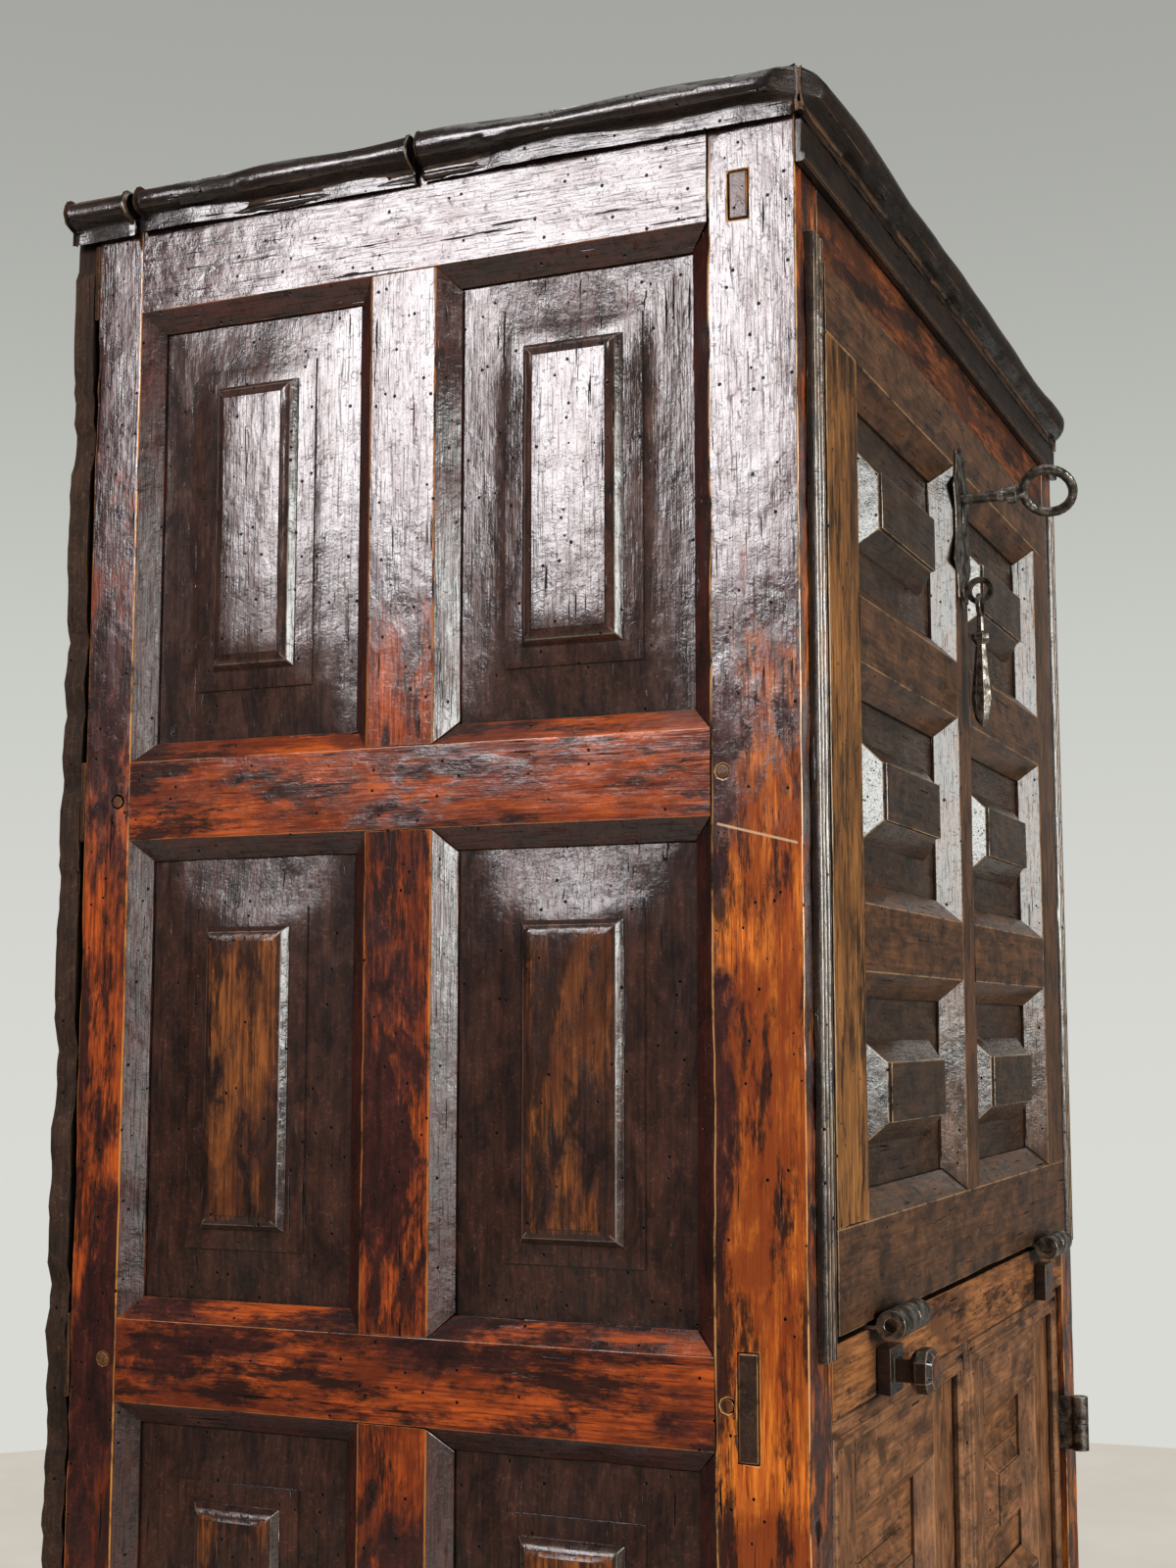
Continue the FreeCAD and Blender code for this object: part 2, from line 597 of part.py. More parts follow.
SHELVES = [("bottom_board", "foot_high + low_rail_high", "front_rail_deep"),
           ("cupboard_shelf", "first_opening + pitch - shelf_drop", "front_rail_deep + 10"),
           ("desk_floor", "desk_high", "front_rail_deep"),
           ("upper_shelf", "first_opening + 3 * pitch - shelf_drop", "front_rail_deep + 10")]
bearer = slab("bearer", "0", "post_front", "0", "bearer_wide", "post_rear - post_front", "bearer_high")
bearers = []
for label, top, front in SHELVES:
    shelf(label, top, front)
    for x in ("-half + frame_thick", "half - frame_thick - bearer_wide"):
        bearers.append((bearer, x, "front_y", top + " - shelf_thick - bearer_high", None))
copies("shelf_bearers", bearers)

stop = slab("stop", "0", "fall_thick - fall_proud + stop_gap", "desk_high", "stop_wide", "stop_deep",
            "datum - frieze_high - desk_high")
copies("fall_stops", [(stop, x, "front_y", "0", None)
                      for x in ("-half + post_across", "half - post_across - stop_wide")])

# Lopers: square bars in open-topped guides under the desk floor, knobs worked on their ends.
slot_wide = "(loper_wide + loper_slack)"
guide_wide = "(loper_wide + loper_slack + 2 * guide_wall)"
guide_high = "(loper_drop + loper_high + loper_slack / 2 + guide_base - shelf_thick)"
guide = new_body("guide")
pad(guide, "XZ", outline(guide, "XZ", [
    ("0", "0"), (guide_wide, "0"), (guide_wide, guide_high), ("guide_wall + " + slot_wide, guide_high),
    ("guide_wall + " + slot_wide, "guide_base"), ("guide_wall", "guide_base"),
    ("guide_wall", guide_high), ("0", guide_high)]), "guide_long")
copies("loper_guides", [(guide, "%sloper_across - %s / 2" % (sign, guide_wide),
                         "front_y + front_rail_deep", "loper_low - loper_slack / 2 - guide_base", None)
                        for sign in ("-", "")])

wide = "collar_wide"
cant = "collar_wide * 0.24"
HEAD = [(cant, "1"), (wide + " - " + cant, "1"), (wide + " - 1", cant + " + 1"),
        (wide + " - 1", wide + " - 1 - " + cant), (wide + " - " + cant, wide + " - 1"),
        (cant, wide + " - 1"), ("1", wide + " - 1 - " + cant), ("1", cant + " + 1")]


def worked_knob(body):
    """Faceted head with its arrises taken off, on a square neck."""
    pad(body, "XZ", outline(body, "XZ", HEAD), "head_long")
    doc.recompute()
    blunt = body.Tip
    rims = ["Edge%d" % (i + 1) for i, edge in enumerate(blunt.Shape.Edges)
            if edge.BoundBox.YLength < value("head_ease")]
    eased = body.newObject("PartDesign::Chamfer", body.Name + "_eased")
    eased.Base = (blunt, rims)
    bind(eased, "Size", "head_ease")
    lead = "(collar_wide - neck_wide) / 2"
    block(body, "Additive", lead, "head_long - 1", lead, "neck_wide", "neck_long + 2", "neck_wide")


def loper(name, knobbed):
    ahead = "(collar_thick + neck_long + head_long)" if knobbed else "collar_thick"
    body = place(new_body(name), "-loper_across - collar_wide / 2", "front_y - " + ahead, "loper_low - 2")
    if knobbed:
        worked_knob(body)
    block(body, "Additive", "0", ahead + " - collar_thick", "0", wide, "collar_thick", wide)
    return block(body, "Additive", "(collar_wide - loper_wide) / 2", ahead, "2", "loper_wide", "loper_long",
                 "loper_high")


# The right-hand knob has been lost and only its collar is left.
node(loper("loper_whole", True), "loper_left")
mirrored(loper("loper_stub", False), "loper_right")

# Fall: top and bottom rails run through, stiles and muntin between them, short rails between those.
fall_y = "front_y - fall_proud"
clear_high = "(fall_high - fall_top_flat - fall_low_flat)"
clear_z = "fall_low + fall_low_flat"
FALL_ROWS = [clear_z + " + %d * (fall_row + fall_mid_flat)" % i for i in range(3)]
FALL_COLUMNS = ["fall_wide / 2 - fall_stile_flat", "-fall_muntin_flat / 2"]
TABLET = [("ground_wide", "%s"), ("ground_wide", "%s - block_rise"),
          ("ground_wide + slope_wide", "crest_in"), ("ground_wide + slope_wide", "tablet_in")]


def tablet(frame):
    across = [(u, v % frame.groove if "%s" in v else v) for u, v in TABLET]
    upward = [(u.replace("_wide", "_tall"), v) for u, v in across]
    return across, upward


fall_top = leaf.rail("fall_top", "(fall_top_flat + fall_bevel)", "fall_wide", True, False, False)
node(place(fall_top, "fall_wide / 2", fall_y, "fall_low + fall_high - fall_top_flat - fall_bevel", TURN),
     "fall_top_rail")
fall_bottom = leaf.rail("fall_bottom", "(fall_low_flat + fall_bevel)", "fall_wide", False, True, False)
node(place(fall_bottom, "fall_wide / 2", fall_y, "fall_low", TURN), "fall_bottom_rail")
stile_total = "(fall_stile_flat + fall_bevel)"
stile = leaf.upright("fall_stile_b", stile_total, clear_high, False, True)
node(place(stile, "fall_wide / 2", fall_y, clear_z, TURN), "fall_stile_right")
stile = leaf.upright("fall_stile_a", stile_total, clear_high, True, False)
node(place(stile, "-fall_wide / 2 + " + stile_total, fall_y, clear_z, TURN), "fall_stile_left")
muntin_total = "(fall_muntin_flat + 2 * fall_bevel)"
fall_muntin = leaf.upright("fall_muntin_a", muntin_total, clear_high, True, True)
key_z = "keyhole_rise - fall_low - fall_low_flat"
drill(fall_muntin, "Subtractive", "0", muntin_total + " / 2", key_z, "shank_wide / 2 + 2", "fall_thick",
      RY90)
block(fall_muntin, "Subtractive", "0", muntin_total + " / 2 - 2.5", key_z + " - 17", "fall_thick", "5", "17")
node(place(fall_muntin, muntin_total + " / 2", fall_y, clear_z, TURN), "fall_muntin")
short = leaf.rail("fall_short", "(fall_mid_flat + 2 * fall_bevel)", "fall_column", True, True)
copies("fall_mid_rails", [(short, x, fall_y, z + " + fall_row - fall_bevel", TURN)
                          for x in FALL_COLUMNS for z in FALL_ROWS[:2]])
fall_panel = leaf.panel("fall_panel", "fall_column", "fall_row", *tablet(leaf))
fall_inset = "(fall_bevel - groove_deep + tongue_gap)"
copies("fall_panels", [(fall_panel, x + " - " + fall_inset, fall_y, z + " + " + fall_inset, TURN)
                       for x in FALL_COLUMNS for z in FALL_ROWS])


# Barrel hinges of the fall: the outer knuckle is fixed to the desk rail and grips the flats of the pin, the
# inner one turns on it with the fall.
PIN_SIDES = 12


def knuckle(name, start, length, bore, leaf_rise, sides=0):
    centre = "barrel_wide / 2"
    body = place(new_body(name), "-barrel_across - barrel_fixed / 2 - barrel_moving / 2 + " + start,
                 "front_y - barrel_ahead - barrel_wide / 2", "axis_rise - barrel_wide / 2")
    drill(body, "Additive", "0", centre, centre, centre, length, RY90, 16)
    block(body, "Additive", "0", centre + " + barrel_bore / 2 + 0.6", centre + " + " + leaf_rise,
          length, "barrel_ahead - barrel_bore / 2 - 0.6 + leaf_deep", "leaf_thick")
    return drill(body, "Subtractive", "0", centre, centre, bore, length, RY90, sides)


pair("fall_hinge_plates", knuckle("hinge_plate", "0", "barrel_fixed", "barrel_bore / 2",
                                  "(-hinge_gap / 2)", PIN_SIDES))
pair("fall_hinge_leaves", knuckle("hinge_leaf", "barrel_fixed + 0.4", "barrel_moving",
                                  "barrel_bore / 2 + pin_slack / 2", "(hinge_gap / 2 - leaf_thick)"))
pin = place(new_body("hinge_pin"), "-barrel_across - barrel_fixed / 2 - barrel_moving / 2 + 3",
            "front_y - barrel_ahead", "axis_rise")
drill(pin, "Additive", "0", "0", "0", "barrel_bore / 2", "barrel_fixed + barrel_moving - 6", RY90, PIN_SIDES)
pair("fall_hinge_pins", pin)

# Doors: stiles run full height, rails between them, a mitred reeded strip round each leaf.
door_y = "front_y + door_in"
door_x = "-door_centre_gap / 2"
door_stile = "(door_stile_flat + bevel_wide)"
DOOR_ROWS = ["door_low + door_end_flat + %d * (door_row + door_mid_flat)" % i for i in range(3)]
meeting = door.upright("meeting_stile", door_stile, "door_high", False, True, False)
hanging = door.upright("hanging_stile", door_stile, "door_high", True, False, False)
inner_x = door_x + " - door_stile_flat"
door_parts = {"stiles": copies("left_door_stiles", [
    (meeting, door_x, door_y, "door_low", TURN),
    (hanging, door_x + " - door_wide + " + door_stile, door_y, "door_low", TURN)])}
door_top = door.rail("door_top", "(door_end_flat + bevel_wide)", "door_column", True, False)
door_low_rail = door.rail("door_bottom", "(door_end_flat + bevel_wide)", "door_column", False, True)
door_mid = door.rail("door_mid", "(door_mid_flat + 2 * bevel_wide)", "door_column", True, True)
spots = [(door_low_rail, inner_x, door_y, "door_low", TURN),
         (door_top, inner_x, door_y, "door_low + door_high - door_end_flat - bevel_wide", TURN)]
spots += [(door_mid, inner_x, door_y, z + " + door_row - bevel_wide", TURN) for z in DOOR_ROWS[:2]]
door_parts["rails"] = copies("left_door_rails", spots)
door_panel = door.panel("door_panel", "door_column", "door_row", *tablet(door))
door_parts["panels"] = copies("left_door_panels", [
    (door_panel, inner_x + " - (%s)" % inset, door_y, z + " + " + inset, TURN) for z in DOOR_ROWS])

STRIP = "1:0 .36:0 .1:.1 0:.25 .1:.4 .36:.47 .36:.53 .2:.6 .14:.72 .2:.84 .45:.95 .6:1 1:1"
strip_points = shares(STRIP, "door_reed_proud", "door_reed_wide")


def strip(name, length):
    body = new_body(name)
    pad(body, "XZ", outline(body, "XZ", strip_points), length)
    cut_through(body, "YZ", [("0", "0"), ("door_reed_wide", "0"), ("0", "door_reed_wide")])
    return cut_through(body, "YZ", [(length, "0"), (length + " - door_reed_wide", "0"),
                                    (length, "door_reed_wide")])


def rolled(angle):
    return TURN.multiply(FreeCAD.Rotation(FreeCAD.Vector(1, 0, 0), angle))


across = strip("strip_across", "door_wide")
upward = strip("strip_upward", "door_high")
strip_y = "front_y + door_in - door_reed_proud"
door_parts["moulding"] = copies("left_door_moulding", [
    (across, door_x, strip_y, "door_low + door_high - door_reed_wide", TURN),
    (across, door_x + " - door_wide", strip_y, "door_low + door_reed_wide", rolled(180)),
    (upward, door_x + " - door_reed_wide", strip_y, "door_low", rolled(90)),
    (upward, door_x + " - door_wide + door_reed_wide", strip_y, "door_low + door_high", rolled(-90))])

# Door hinges: lower knuckle on the post, upper one on the door edge.
HINGE_LEVELS = ["door_low + door_hinge_in", "door_low + door_high - door_hinge_in - door_barrel_high"]


def door_knuckle(name, bore, leaf_x, sides=0):
    centre = "door_barrel_wide / 2"
    body = new_body(name)
    high = "door_barrel_high / 2 - 0.2"
    drill(body, "Additive", centre, centre, "0", centre, high, None, 16)
    block(body, "Additive", centre + " + " + leaf_x, centre + " + door_bore / 2 + 0.6", "0",
          "leaf_thick", "door_barrel_ahead - door_bore / 2 - 0.6 + leaf_deep + 6", high)
    return drill(body, "Subtractive", centre, centre, "0", bore, high, None, sides)


hinge_x = "-half + post_across + door_edge_gap / 2"
plate = door_knuckle("door_plate", "door_bore / 2", "(-door_edge_gap / 2)", PIN_SIDES)
flap = door_knuckle("door_flap", "door_bore / 2 + pin_slack / 2", "(door_edge_gap / 2 - leaf_thick)")
corner_x = hinge_x + " - door_barrel_wide / 2"
corner_y = "front_y - door_barrel_ahead - door_barrel_wide / 2"
door_pin = drill(new_body("door_pin"), "Additive", "0", "0", "0", "door_bore / 2", "door_barrel_high",
                 None, PIN_SIDES)
pair("door_hinge_plates", cluster("plates", [(plate, corner_x, corner_y, z, None) for z in HINGE_LEVELS]))
pair("door_hinge_pins", cluster("pins", [(door_pin, hinge_x, "front_y - door_barrel_ahead", z, None)
                                         for z in HINGE_LEVELS]))
door_parts["hinge_leaves"] = copies("left_door_hinge_leaves", [
    (flap, corner_x, corner_y, z + " + door_barrel_high / 2 + 0.2", None) for z in HINGE_LEVELS])
for part, source in door_parts.items():
    mirrored(source, "right_door_" + part)

# Lock: shaped plate outside, case behind the fall with its bolt, key in place.
PLATE = [(0.5, 0), (0.64, 0.07), (0.8, 0.05), (0.84, 0.19), (1, 0.27), (0.9, 0.42), (0.9, 0.58),
         (1, 0.73), (0.84, 0.81), (0.8, 0.95), (0.64, 0.93), (0.5, 1)]
PLATE += [(1 - u, v) for u, v in PLATE[-2:0:-1]]
shape = [("plate_wide * %.2f" % u if u > 0.001 else "0", "plate_high * %.2f" % v if v else "0")
         for u, v in PLATE]
plate_low = "datum - frieze_high - plate_drop - plate_high"
lock_plate = place(new_body("escutcheon"), "-plate_wide / 2", fall_y + " - plate_thick", plate_low)
pad(lock_plate, "XZ", outline(lock_plate, "XZ", shape), "plate_thick")
hole_z = "keyhole_rise - (%s)" % plate_low
drill(lock_plate, "Subtractive", "plate_wide / 2", "plate_thick", hole_z, "shank_wide / 2 + 1",
      "plate_thick", RX90)
block(lock_plate, "Subtractive", "plate_wide / 2 - 2.5", "0", hole_z + " - 17", "5", "plate_thick", "17")
node(lock_plate, "lock_plate")

case_top = "datum - frieze_high - 12"
case = place(new_body("case"), "-case_wide / 2", "front_y + fall_thick - fall_proud",
             case_top + " - case_high")
pad(case, "XZ", outline(case, "XZ", [("0", "0"), ("case_wide", "0"), ("case_wide", "case_high"),
                                     ("0", "case_high")]), "case_deep")
block(case, "Subtractive", "case_wall", "0", "case_wall", "case_wide - 2 * case_wall",
      "case_deep - case_wall", "case_high - 2 * case_wall")
block(case, "Subtractive", "case_wide / 2 - bolt_wide / 2 - 0.5", "case_deep - case_wall - bolt_thick - 0.8",
      "case_high - case_wall", "bolt_wide + 1", "bolt_thick + 0.8", "case_wall")
node(case, "lock_case")
bolt = place(new_body("bolt"), "-bolt_wide / 2", "front_y + fall_thick - fall_proud + case_deep - case_wall"
             " - bolt_thick - 0.4", "datum - frieze_high - 3 - bolt_long")
pad(bolt, "XZ", outline(bolt, "XZ", [("0", "0"), ("bolt_wide", "0"), ("bolt_wide", "bolt_long"),
                                     ("0", "bolt_long")]), "bolt_thick")
node(bolt, "lock_bolt")

key = place(new_body("turnkey"), "0", "front_y - key_reach", "keyhole_rise")
tip = "(key_reach + fall_thick - fall_proud + case_deep - case_wall - bolt_thick - 1.5)"
DOWN_Y = FreeCAD.Rotation(FreeCAD.Vector(1, 0, 0), -90)
drill(key, "Additive", "0", "bow_wide - 5", "0", "shank_wide / 2", tip + " - bow_wide + 5", DOWN_Y)
drill(key, "Additive", "0", "bow_wide + 1", "0", "shank_wide / 2 + 3", "7", DOWN_Y, 12)
drill(key, "Additive", "0", "bow_wide + 11", "0", "shank_wide / 2 + 1.5", "4", DOWN_Y, 12)
block(key, "Additive", "-1.8", tip + " - 5", "-14", "3.6", "5", "14")
bow = hoop(key, "YZ", "V_Axis", "(bow_wide - bow_wire) / 2", "bow_wire")
bow.AttachmentOffset = FreeCAD.Placement(FreeCAD.Vector(), FreeCAD.Rotation(FreeCAD.Vector(1, 0, 0), 45))
bind(bow, "AttachmentOffset.Base.x", "bow_wide / 2")
node(key, "key")

# Drop pull hanging in a ring staple.
eye_y = "(fall_proud + plate_thick + eye_wide / 2 + 3.5)"
staple = place(new_body("staple"), "0", "front_y - " + eye_y, "pull_rise")
hoop(staple, "XY", "H_Axis", "eye_wide / 2", "eye_wire", SQUARE)
drill(staple, "Additive", "0", "eye_wide / 2 + 0.5", "0", "eye_wire * 0.35", "3", DOWN_Y, 8)
drill(staple, "Additive", "0", "eye_wide / 2 + 2", "0", "eye_wide / 2", "1.5", DOWN_Y, 12)
node(staple, "pull_staple")
pull = place(new_body("pendant"), "0", "front_y - " + eye_y, "pull_rise - pull_long")
DROP = ".06:0 .34:.06 .5:.2 .24:.6 .44:.64 .44:.68 .17:.7"
hammered(pull, shares(DROP, "pull_wide", "pull_long") + [("pull_wide * .17", "pull_long - 19")])
hoop(pull, "XY", "V_Axis", "link_wide / 2", "link_wire", SQUARE, "pull_long - 11")
node(pull, "drop_pull")

doc.recompute()
faulty = [o.Name for o in doc.Objects if "Invalid" in o.State or "Error" in o.State]
faulty += [thing.Label for thing in nodes if thing.Shape.isNull() or not thing.Shape.isValid()]
if faulty:
    raise RuntimeError("faulty: " + ", ".join(faulty))
os.makedirs("parts", exist_ok=True)
for thing in nodes:
    thing.Shape.exportStep("parts/%s.step" % thing.Label)
    print(thing.Label, len(thing.Shape.Solids), round(thing.Shape.Volume))
print(len(nodes), "nodes")
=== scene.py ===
import json
import math
from types import SimpleNamespace

import bmesh
import bpy
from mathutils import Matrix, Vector, noise


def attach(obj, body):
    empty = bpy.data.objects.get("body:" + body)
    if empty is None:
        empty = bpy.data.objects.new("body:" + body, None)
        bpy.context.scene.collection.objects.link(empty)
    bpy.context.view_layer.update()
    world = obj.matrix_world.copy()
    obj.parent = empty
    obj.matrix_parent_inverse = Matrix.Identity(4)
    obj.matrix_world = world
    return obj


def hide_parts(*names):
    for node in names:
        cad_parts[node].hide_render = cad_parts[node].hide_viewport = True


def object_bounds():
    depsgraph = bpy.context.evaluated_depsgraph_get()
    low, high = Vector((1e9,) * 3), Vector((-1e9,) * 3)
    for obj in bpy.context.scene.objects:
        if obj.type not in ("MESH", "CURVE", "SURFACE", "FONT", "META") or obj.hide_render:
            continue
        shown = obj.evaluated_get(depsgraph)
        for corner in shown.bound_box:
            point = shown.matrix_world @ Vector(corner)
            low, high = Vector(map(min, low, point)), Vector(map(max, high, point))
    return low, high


# Looks of a worn, varnished fall-front cabinet. Metres, floor at z = 0, front towards -Y.
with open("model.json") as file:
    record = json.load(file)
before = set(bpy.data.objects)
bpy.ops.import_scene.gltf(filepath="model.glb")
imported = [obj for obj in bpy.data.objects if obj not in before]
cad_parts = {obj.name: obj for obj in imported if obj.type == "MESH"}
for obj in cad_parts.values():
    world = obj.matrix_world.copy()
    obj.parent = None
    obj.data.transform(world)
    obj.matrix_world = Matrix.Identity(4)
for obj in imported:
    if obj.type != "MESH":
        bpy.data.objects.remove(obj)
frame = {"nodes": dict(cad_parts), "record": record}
cad_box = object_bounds()
MM = 0.001
BODY_OF = {node: body for body, nodes in frame["record"]["behaviour"]["bodies"].items() for node in nodes}


# Weathered copies of the solids. Pitches are noise cycles per metre. A fractal is the noise's exponent,
# the gap between its octaves and their number.
AXES = (Vector((1, 0, 0)), Vector((0, 1, 0)), Vector((0, 0, 1)))
WELD = 1e-6
ON_PLANE = 1e-7
SAME_PLANE = math.radians(0.5)
SHARP = math.radians(28)
SMOOTH = math.radians(38)
SEED_SHIFT = (1.0, 2.3, 5.1)
WAVE_PITCH = 13
CHIP_PITCH = 24
CHIP_FRACTAL = (0.8, 2.1, 4)
CHIP_FROM = 0.12
CHIP_LEAST = 0.6
EDGE_MIDDLE = 1.0
EDGE_RIM = 0.25
CORNER_ROUND = 52 * MM
CORNICE_NOSE = min(corner[1] for corner in frame["nodes"]["cornice_front"].bound_box)
TORN_DEEP = 6 * MM
TORN_BAND = 4 * MM
TORN_PITCH = 13
TORN_FRACTAL = (0.45, 2.4, 6)
TORN_FROM = -0.2


def stations(marks, step):
    """Places to cut, so that no span between neighbouring marks is much longer than the step."""
    cuts = []
    marks = sorted({round(mark, 5) for mark in marks})
    for low, high in zip(marks, marks[1:]):
        count = round((high - low) / step)
        cuts += [low + (high - low) * i / count for i in range(1, count)]
    return cuts


def breadth(face):
    """Mean width of a face across its longest edge."""
    return face.calc_area() / max(edge.calc_length() for edge in face.edges)


def gridded(node, step):
    """The node's mesh with flat faces joined up and then cut into a grid."""
    mesh = bmesh.new()
    mesh.from_mesh(frame["nodes"][node].data)
    bmesh.ops.remove_doubles(mesh, verts=mesh.verts, dist=WELD)
    bmesh.ops.dissolve_limit(mesh, angle_limit=SAME_PLANE, verts=mesh.verts, edges=mesh.edges)
    for axis, normal in enumerate(AXES):
        for cut in stations([vert.co[axis] for vert in mesh.verts], step):
            everything = mesh.verts[:] + mesh.edges[:] + mesh.faces[:]
            bmesh.ops.bisect_plane(mesh, geom=everything, dist=ON_PLANE, plane_co=normal * cut,
                                   plane_no=normal)
    return mesh


def eased(mesh, ease):
    """Round the sharp edges and mark their middle line in the attribute that the shaders read."""
    sharp = [edge for edge in mesh.edges if len(edge.link_faces) == 2
             and edge.calc_face_angle() > SHARP
             and min(breadth(face) for face in edge.link_faces) > 2 * ease]
    made = bmesh.ops.bevel(mesh, geom=sharp, offset=ease, offset_type="OFFSET", segments=2, profile=0.6,
                           affect="EDGES", clamp_overlap=False, loop_slide=True)
    rounded = set(made["faces"])
    layer = mesh.verts.layers.float.new("edge")
    for vert in mesh.verts:
        touching = [face in rounded for face in vert.link_faces]
        if any(touching):
            vert[layer] = EDGE_MIDDLE if all(touching) else EDGE_RIM
    return layer


def weathered(node, step, ease, chip, wave, seed):
    """A copy of a solid with rounded, chipped edges and wavy faces, never standing proud of it.

    The grid step, the rounding and the depths of chips and waves are in millimetres.
    """
    mesh = gridded(node, step * MM)
    layer = eased(mesh, ease * MM)
    mesh.normal_update()
    shift = Vector([seed * share for share in SEED_SHIFT])
    moves = []
    for vert in mesh.verts:
        spot = vert.co + shift
        depth = wave * MM * (0.5 + 0.5 * noise.noise(spot * WAVE_PITCH))
        if vert[layer] > 0:
            bite = max(0.0, noise.fractal(spot * CHIP_PITCH, *CHIP_FRACTAL) - CHIP_FROM)
            depth += chip * MM * min(1.0, bite) * (CHIP_LEAST + (1 - CHIP_LEAST) * vert[layer])
        moves.append(vert.normal * depth)
    for vert, move in zip(mesh.verts, moves):
        vert.co -= move
    if node.startswith("cornice"):
        round_corner(mesh)
    if node == "back_boards":
        tear_edges(mesh)
    return finished(mesh, node)


def round_corner(mesh):
    """Wear the outer corner of the cornice, seen from above, to an arc."""
    hub_x = max(abs(cad_box[0][0]), abs(cad_box[1][0])) - CORNER_ROUND
    hub_y = CORNICE_NOSE + CORNER_ROUND
    for vert in mesh.verts:
        out_x = abs(vert.co.x) - hub_x
        out_y = hub_y - vert.co.y
        reach = math.hypot(out_x, out_y)
        if out_x > 0 and out_y > 0 and reach > CORNER_ROUND:
            vert.co.x = math.copysign(hub_x + out_x * CORNER_ROUND / reach, vert.co.x)
            vert.co.y = hub_y - out_y * CORNER_ROUND / reach


def tear_edges(mesh):
    """Break the two outer edges of the back into ragged lines."""
    reach = max(abs(vert.co.x) for vert in mesh.verts)
    for vert in mesh.verts:
        if abs(vert.co.x) > reach - TORN_BAND:
            spot = Vector((vert.co.x, 0, TORN_PITCH * vert.co.z))
            bite = noise.fractal(spot, *TORN_FRACTAL) - TORN_FROM
            vert.co.x -= math.copysign(TORN_DEEP * min(1.0, max(0.0, bite)), vert.co.x)


def finished(mesh, node):
    """The mesh as a smooth piece that rides on its node's body and stands for the node."""
    data = bpy.data.meshes.new(node + "_worn")
    mesh.to_mesh(data)
    mesh.free()
    data.shade_smooth()
    data.set_sharp_from_angle(angle=SMOOTH)
    piece = bpy.data.objects.new(node + "_worn", data)
    bpy.context.scene.collection.objects.link(piece)
    weighted = piece.modifiers.new("flats", "WEIGHTED_NORMAL")
    weighted.keep_sharp = True
    weighted.weight = 80
    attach(piece, BODY_OF[node])
    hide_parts(node)
    return piece


# Shader building

def tint(code):
    """Linear colour from an sRGB code such as 8a5a2c."""
    parts = [int(code[i:i + 2], 16) / 255 for i in (0, 2, 4)]
    linear = [c / 12.92 if c <= 0.04045 else ((c + 0.055) / 1.055) ** 2.4 for c in parts]
    return (*linear, 1.0)


def grey(level):
    return (level, level, level, 1.0)


class Shader:
    """A material or world under construction; sockets and plain values are taken alike."""

    def __init__(self, owner):
        owner.use_nodes = True
        self.owner = owner
        self.tree = owner.node_tree
        self.tree.nodes.clear()

    def add(self, kind, inputs=None, **settings):
        made = self.tree.nodes.new("ShaderNode" + kind)
        for key, setting in settings.items():
            setattr(made, key, setting)
        for key, value in (inputs or {}).items():
            self.feed(made.inputs[key], value)
        return made

    def feed(self, socket, value):
        if isinstance(value, bpy.types.NodeSocket):
            self.tree.links.new(value, socket)
        else:
            socket.default_value = value

    def math(self, operation, first, second=0.0):
        return self.add("Math", {0: first, 1: second}, operation=operation).outputs[0]

    def times(self, first, second):
        return self.math("MULTIPLY", first, second)

    def larger(self, first, second):
        return self.math("MAXIMUM", first, second)

    def absolute(self, value):
        return self.math("ABSOLUTE", value)

    def total(self, *terms):
        """Weighted sum of (socket, weight) pairs."""
        result = 0.0
        for socket, weight in terms:
            made = self.add("Math", {0: socket, 1: weight, 2: result}, operation="MULTIPLY_ADD")
            result = made.outputs[0]
        return result

    def span(self, value, low, high, to_low=0.0, to_high=1.0):
        """A smooth step from to_low to to_high as the value goes from low to high."""
        made = self.add("MapRange", {"Value": value, "From Min": low, "From Max": high, "To Min": to_low,
                                     "To Max": to_high}, interpolation_type="SMOOTHSTEP")
        return made.outputs["Result"]

    def mix(self, factor, first, second, blend="MIX"):
        made = self.add("Mix", {0: factor, 6: first, 7: second}, data_type="RGBA", blend_type=blend)
        return made.outputs[2]

    def shaded(self, colour, by):
        """A colour multiplied by a grey level or by another colour."""
        return self.mix(1.0, colour, by, "MULTIPLY")

    def ramp(self, value, stops):
        made = self.add("ValToRGB", {"Fac": value})
        elements = made.color_ramp.elements
        while len(elements) < len(stops):
            elements.new(0.5)
        for element, (place, colour) in zip(elements, stops):
            element.position = place
            element.color = colour
        return made.outputs["Color"]

    def stretched(self, coords, grain, long, across):
        scale = [long if axis == grain else across for axis in "XYZ"]
        return self.add("Mapping", {"Vector": coords, "Scale": scale}).outputs["Vector"]

    def noise(self, coords, scale, detail=4.0, rough=0.6, distort=0.0):
        made = self.add("TexNoise", {"Vector": coords, "Scale": scale, "Detail": detail,
                                     "Roughness": rough, "Distortion": distort})
        return made.outputs["Fac"]

    def cells(self, coords, scale):
        return self.add("TexVoronoi", {"Vector": coords, "Scale": scale}).outputs

    def split(self, vector):
        return self.add("SeparateXYZ", {0: vector}).outputs

    def edge_mark(self):
        """The attribute that is highest along the middle of a rounded edge."""
        return self.add("Attribute", attribute_name="edge").outputs["Fac"]

    def bump(self, height, strength, distance):
        made = self.add("Bump", {"Height": height, "Strength": strength, "Distance": distance})
        return made.outputs["Normal"]

    def output(self, shader, kind="OutputMaterial"):
        self.add(kind, {"Surface": shader})
        return self.owner


def new_material(name):
    return Shader(bpy.data.materials.new(name))


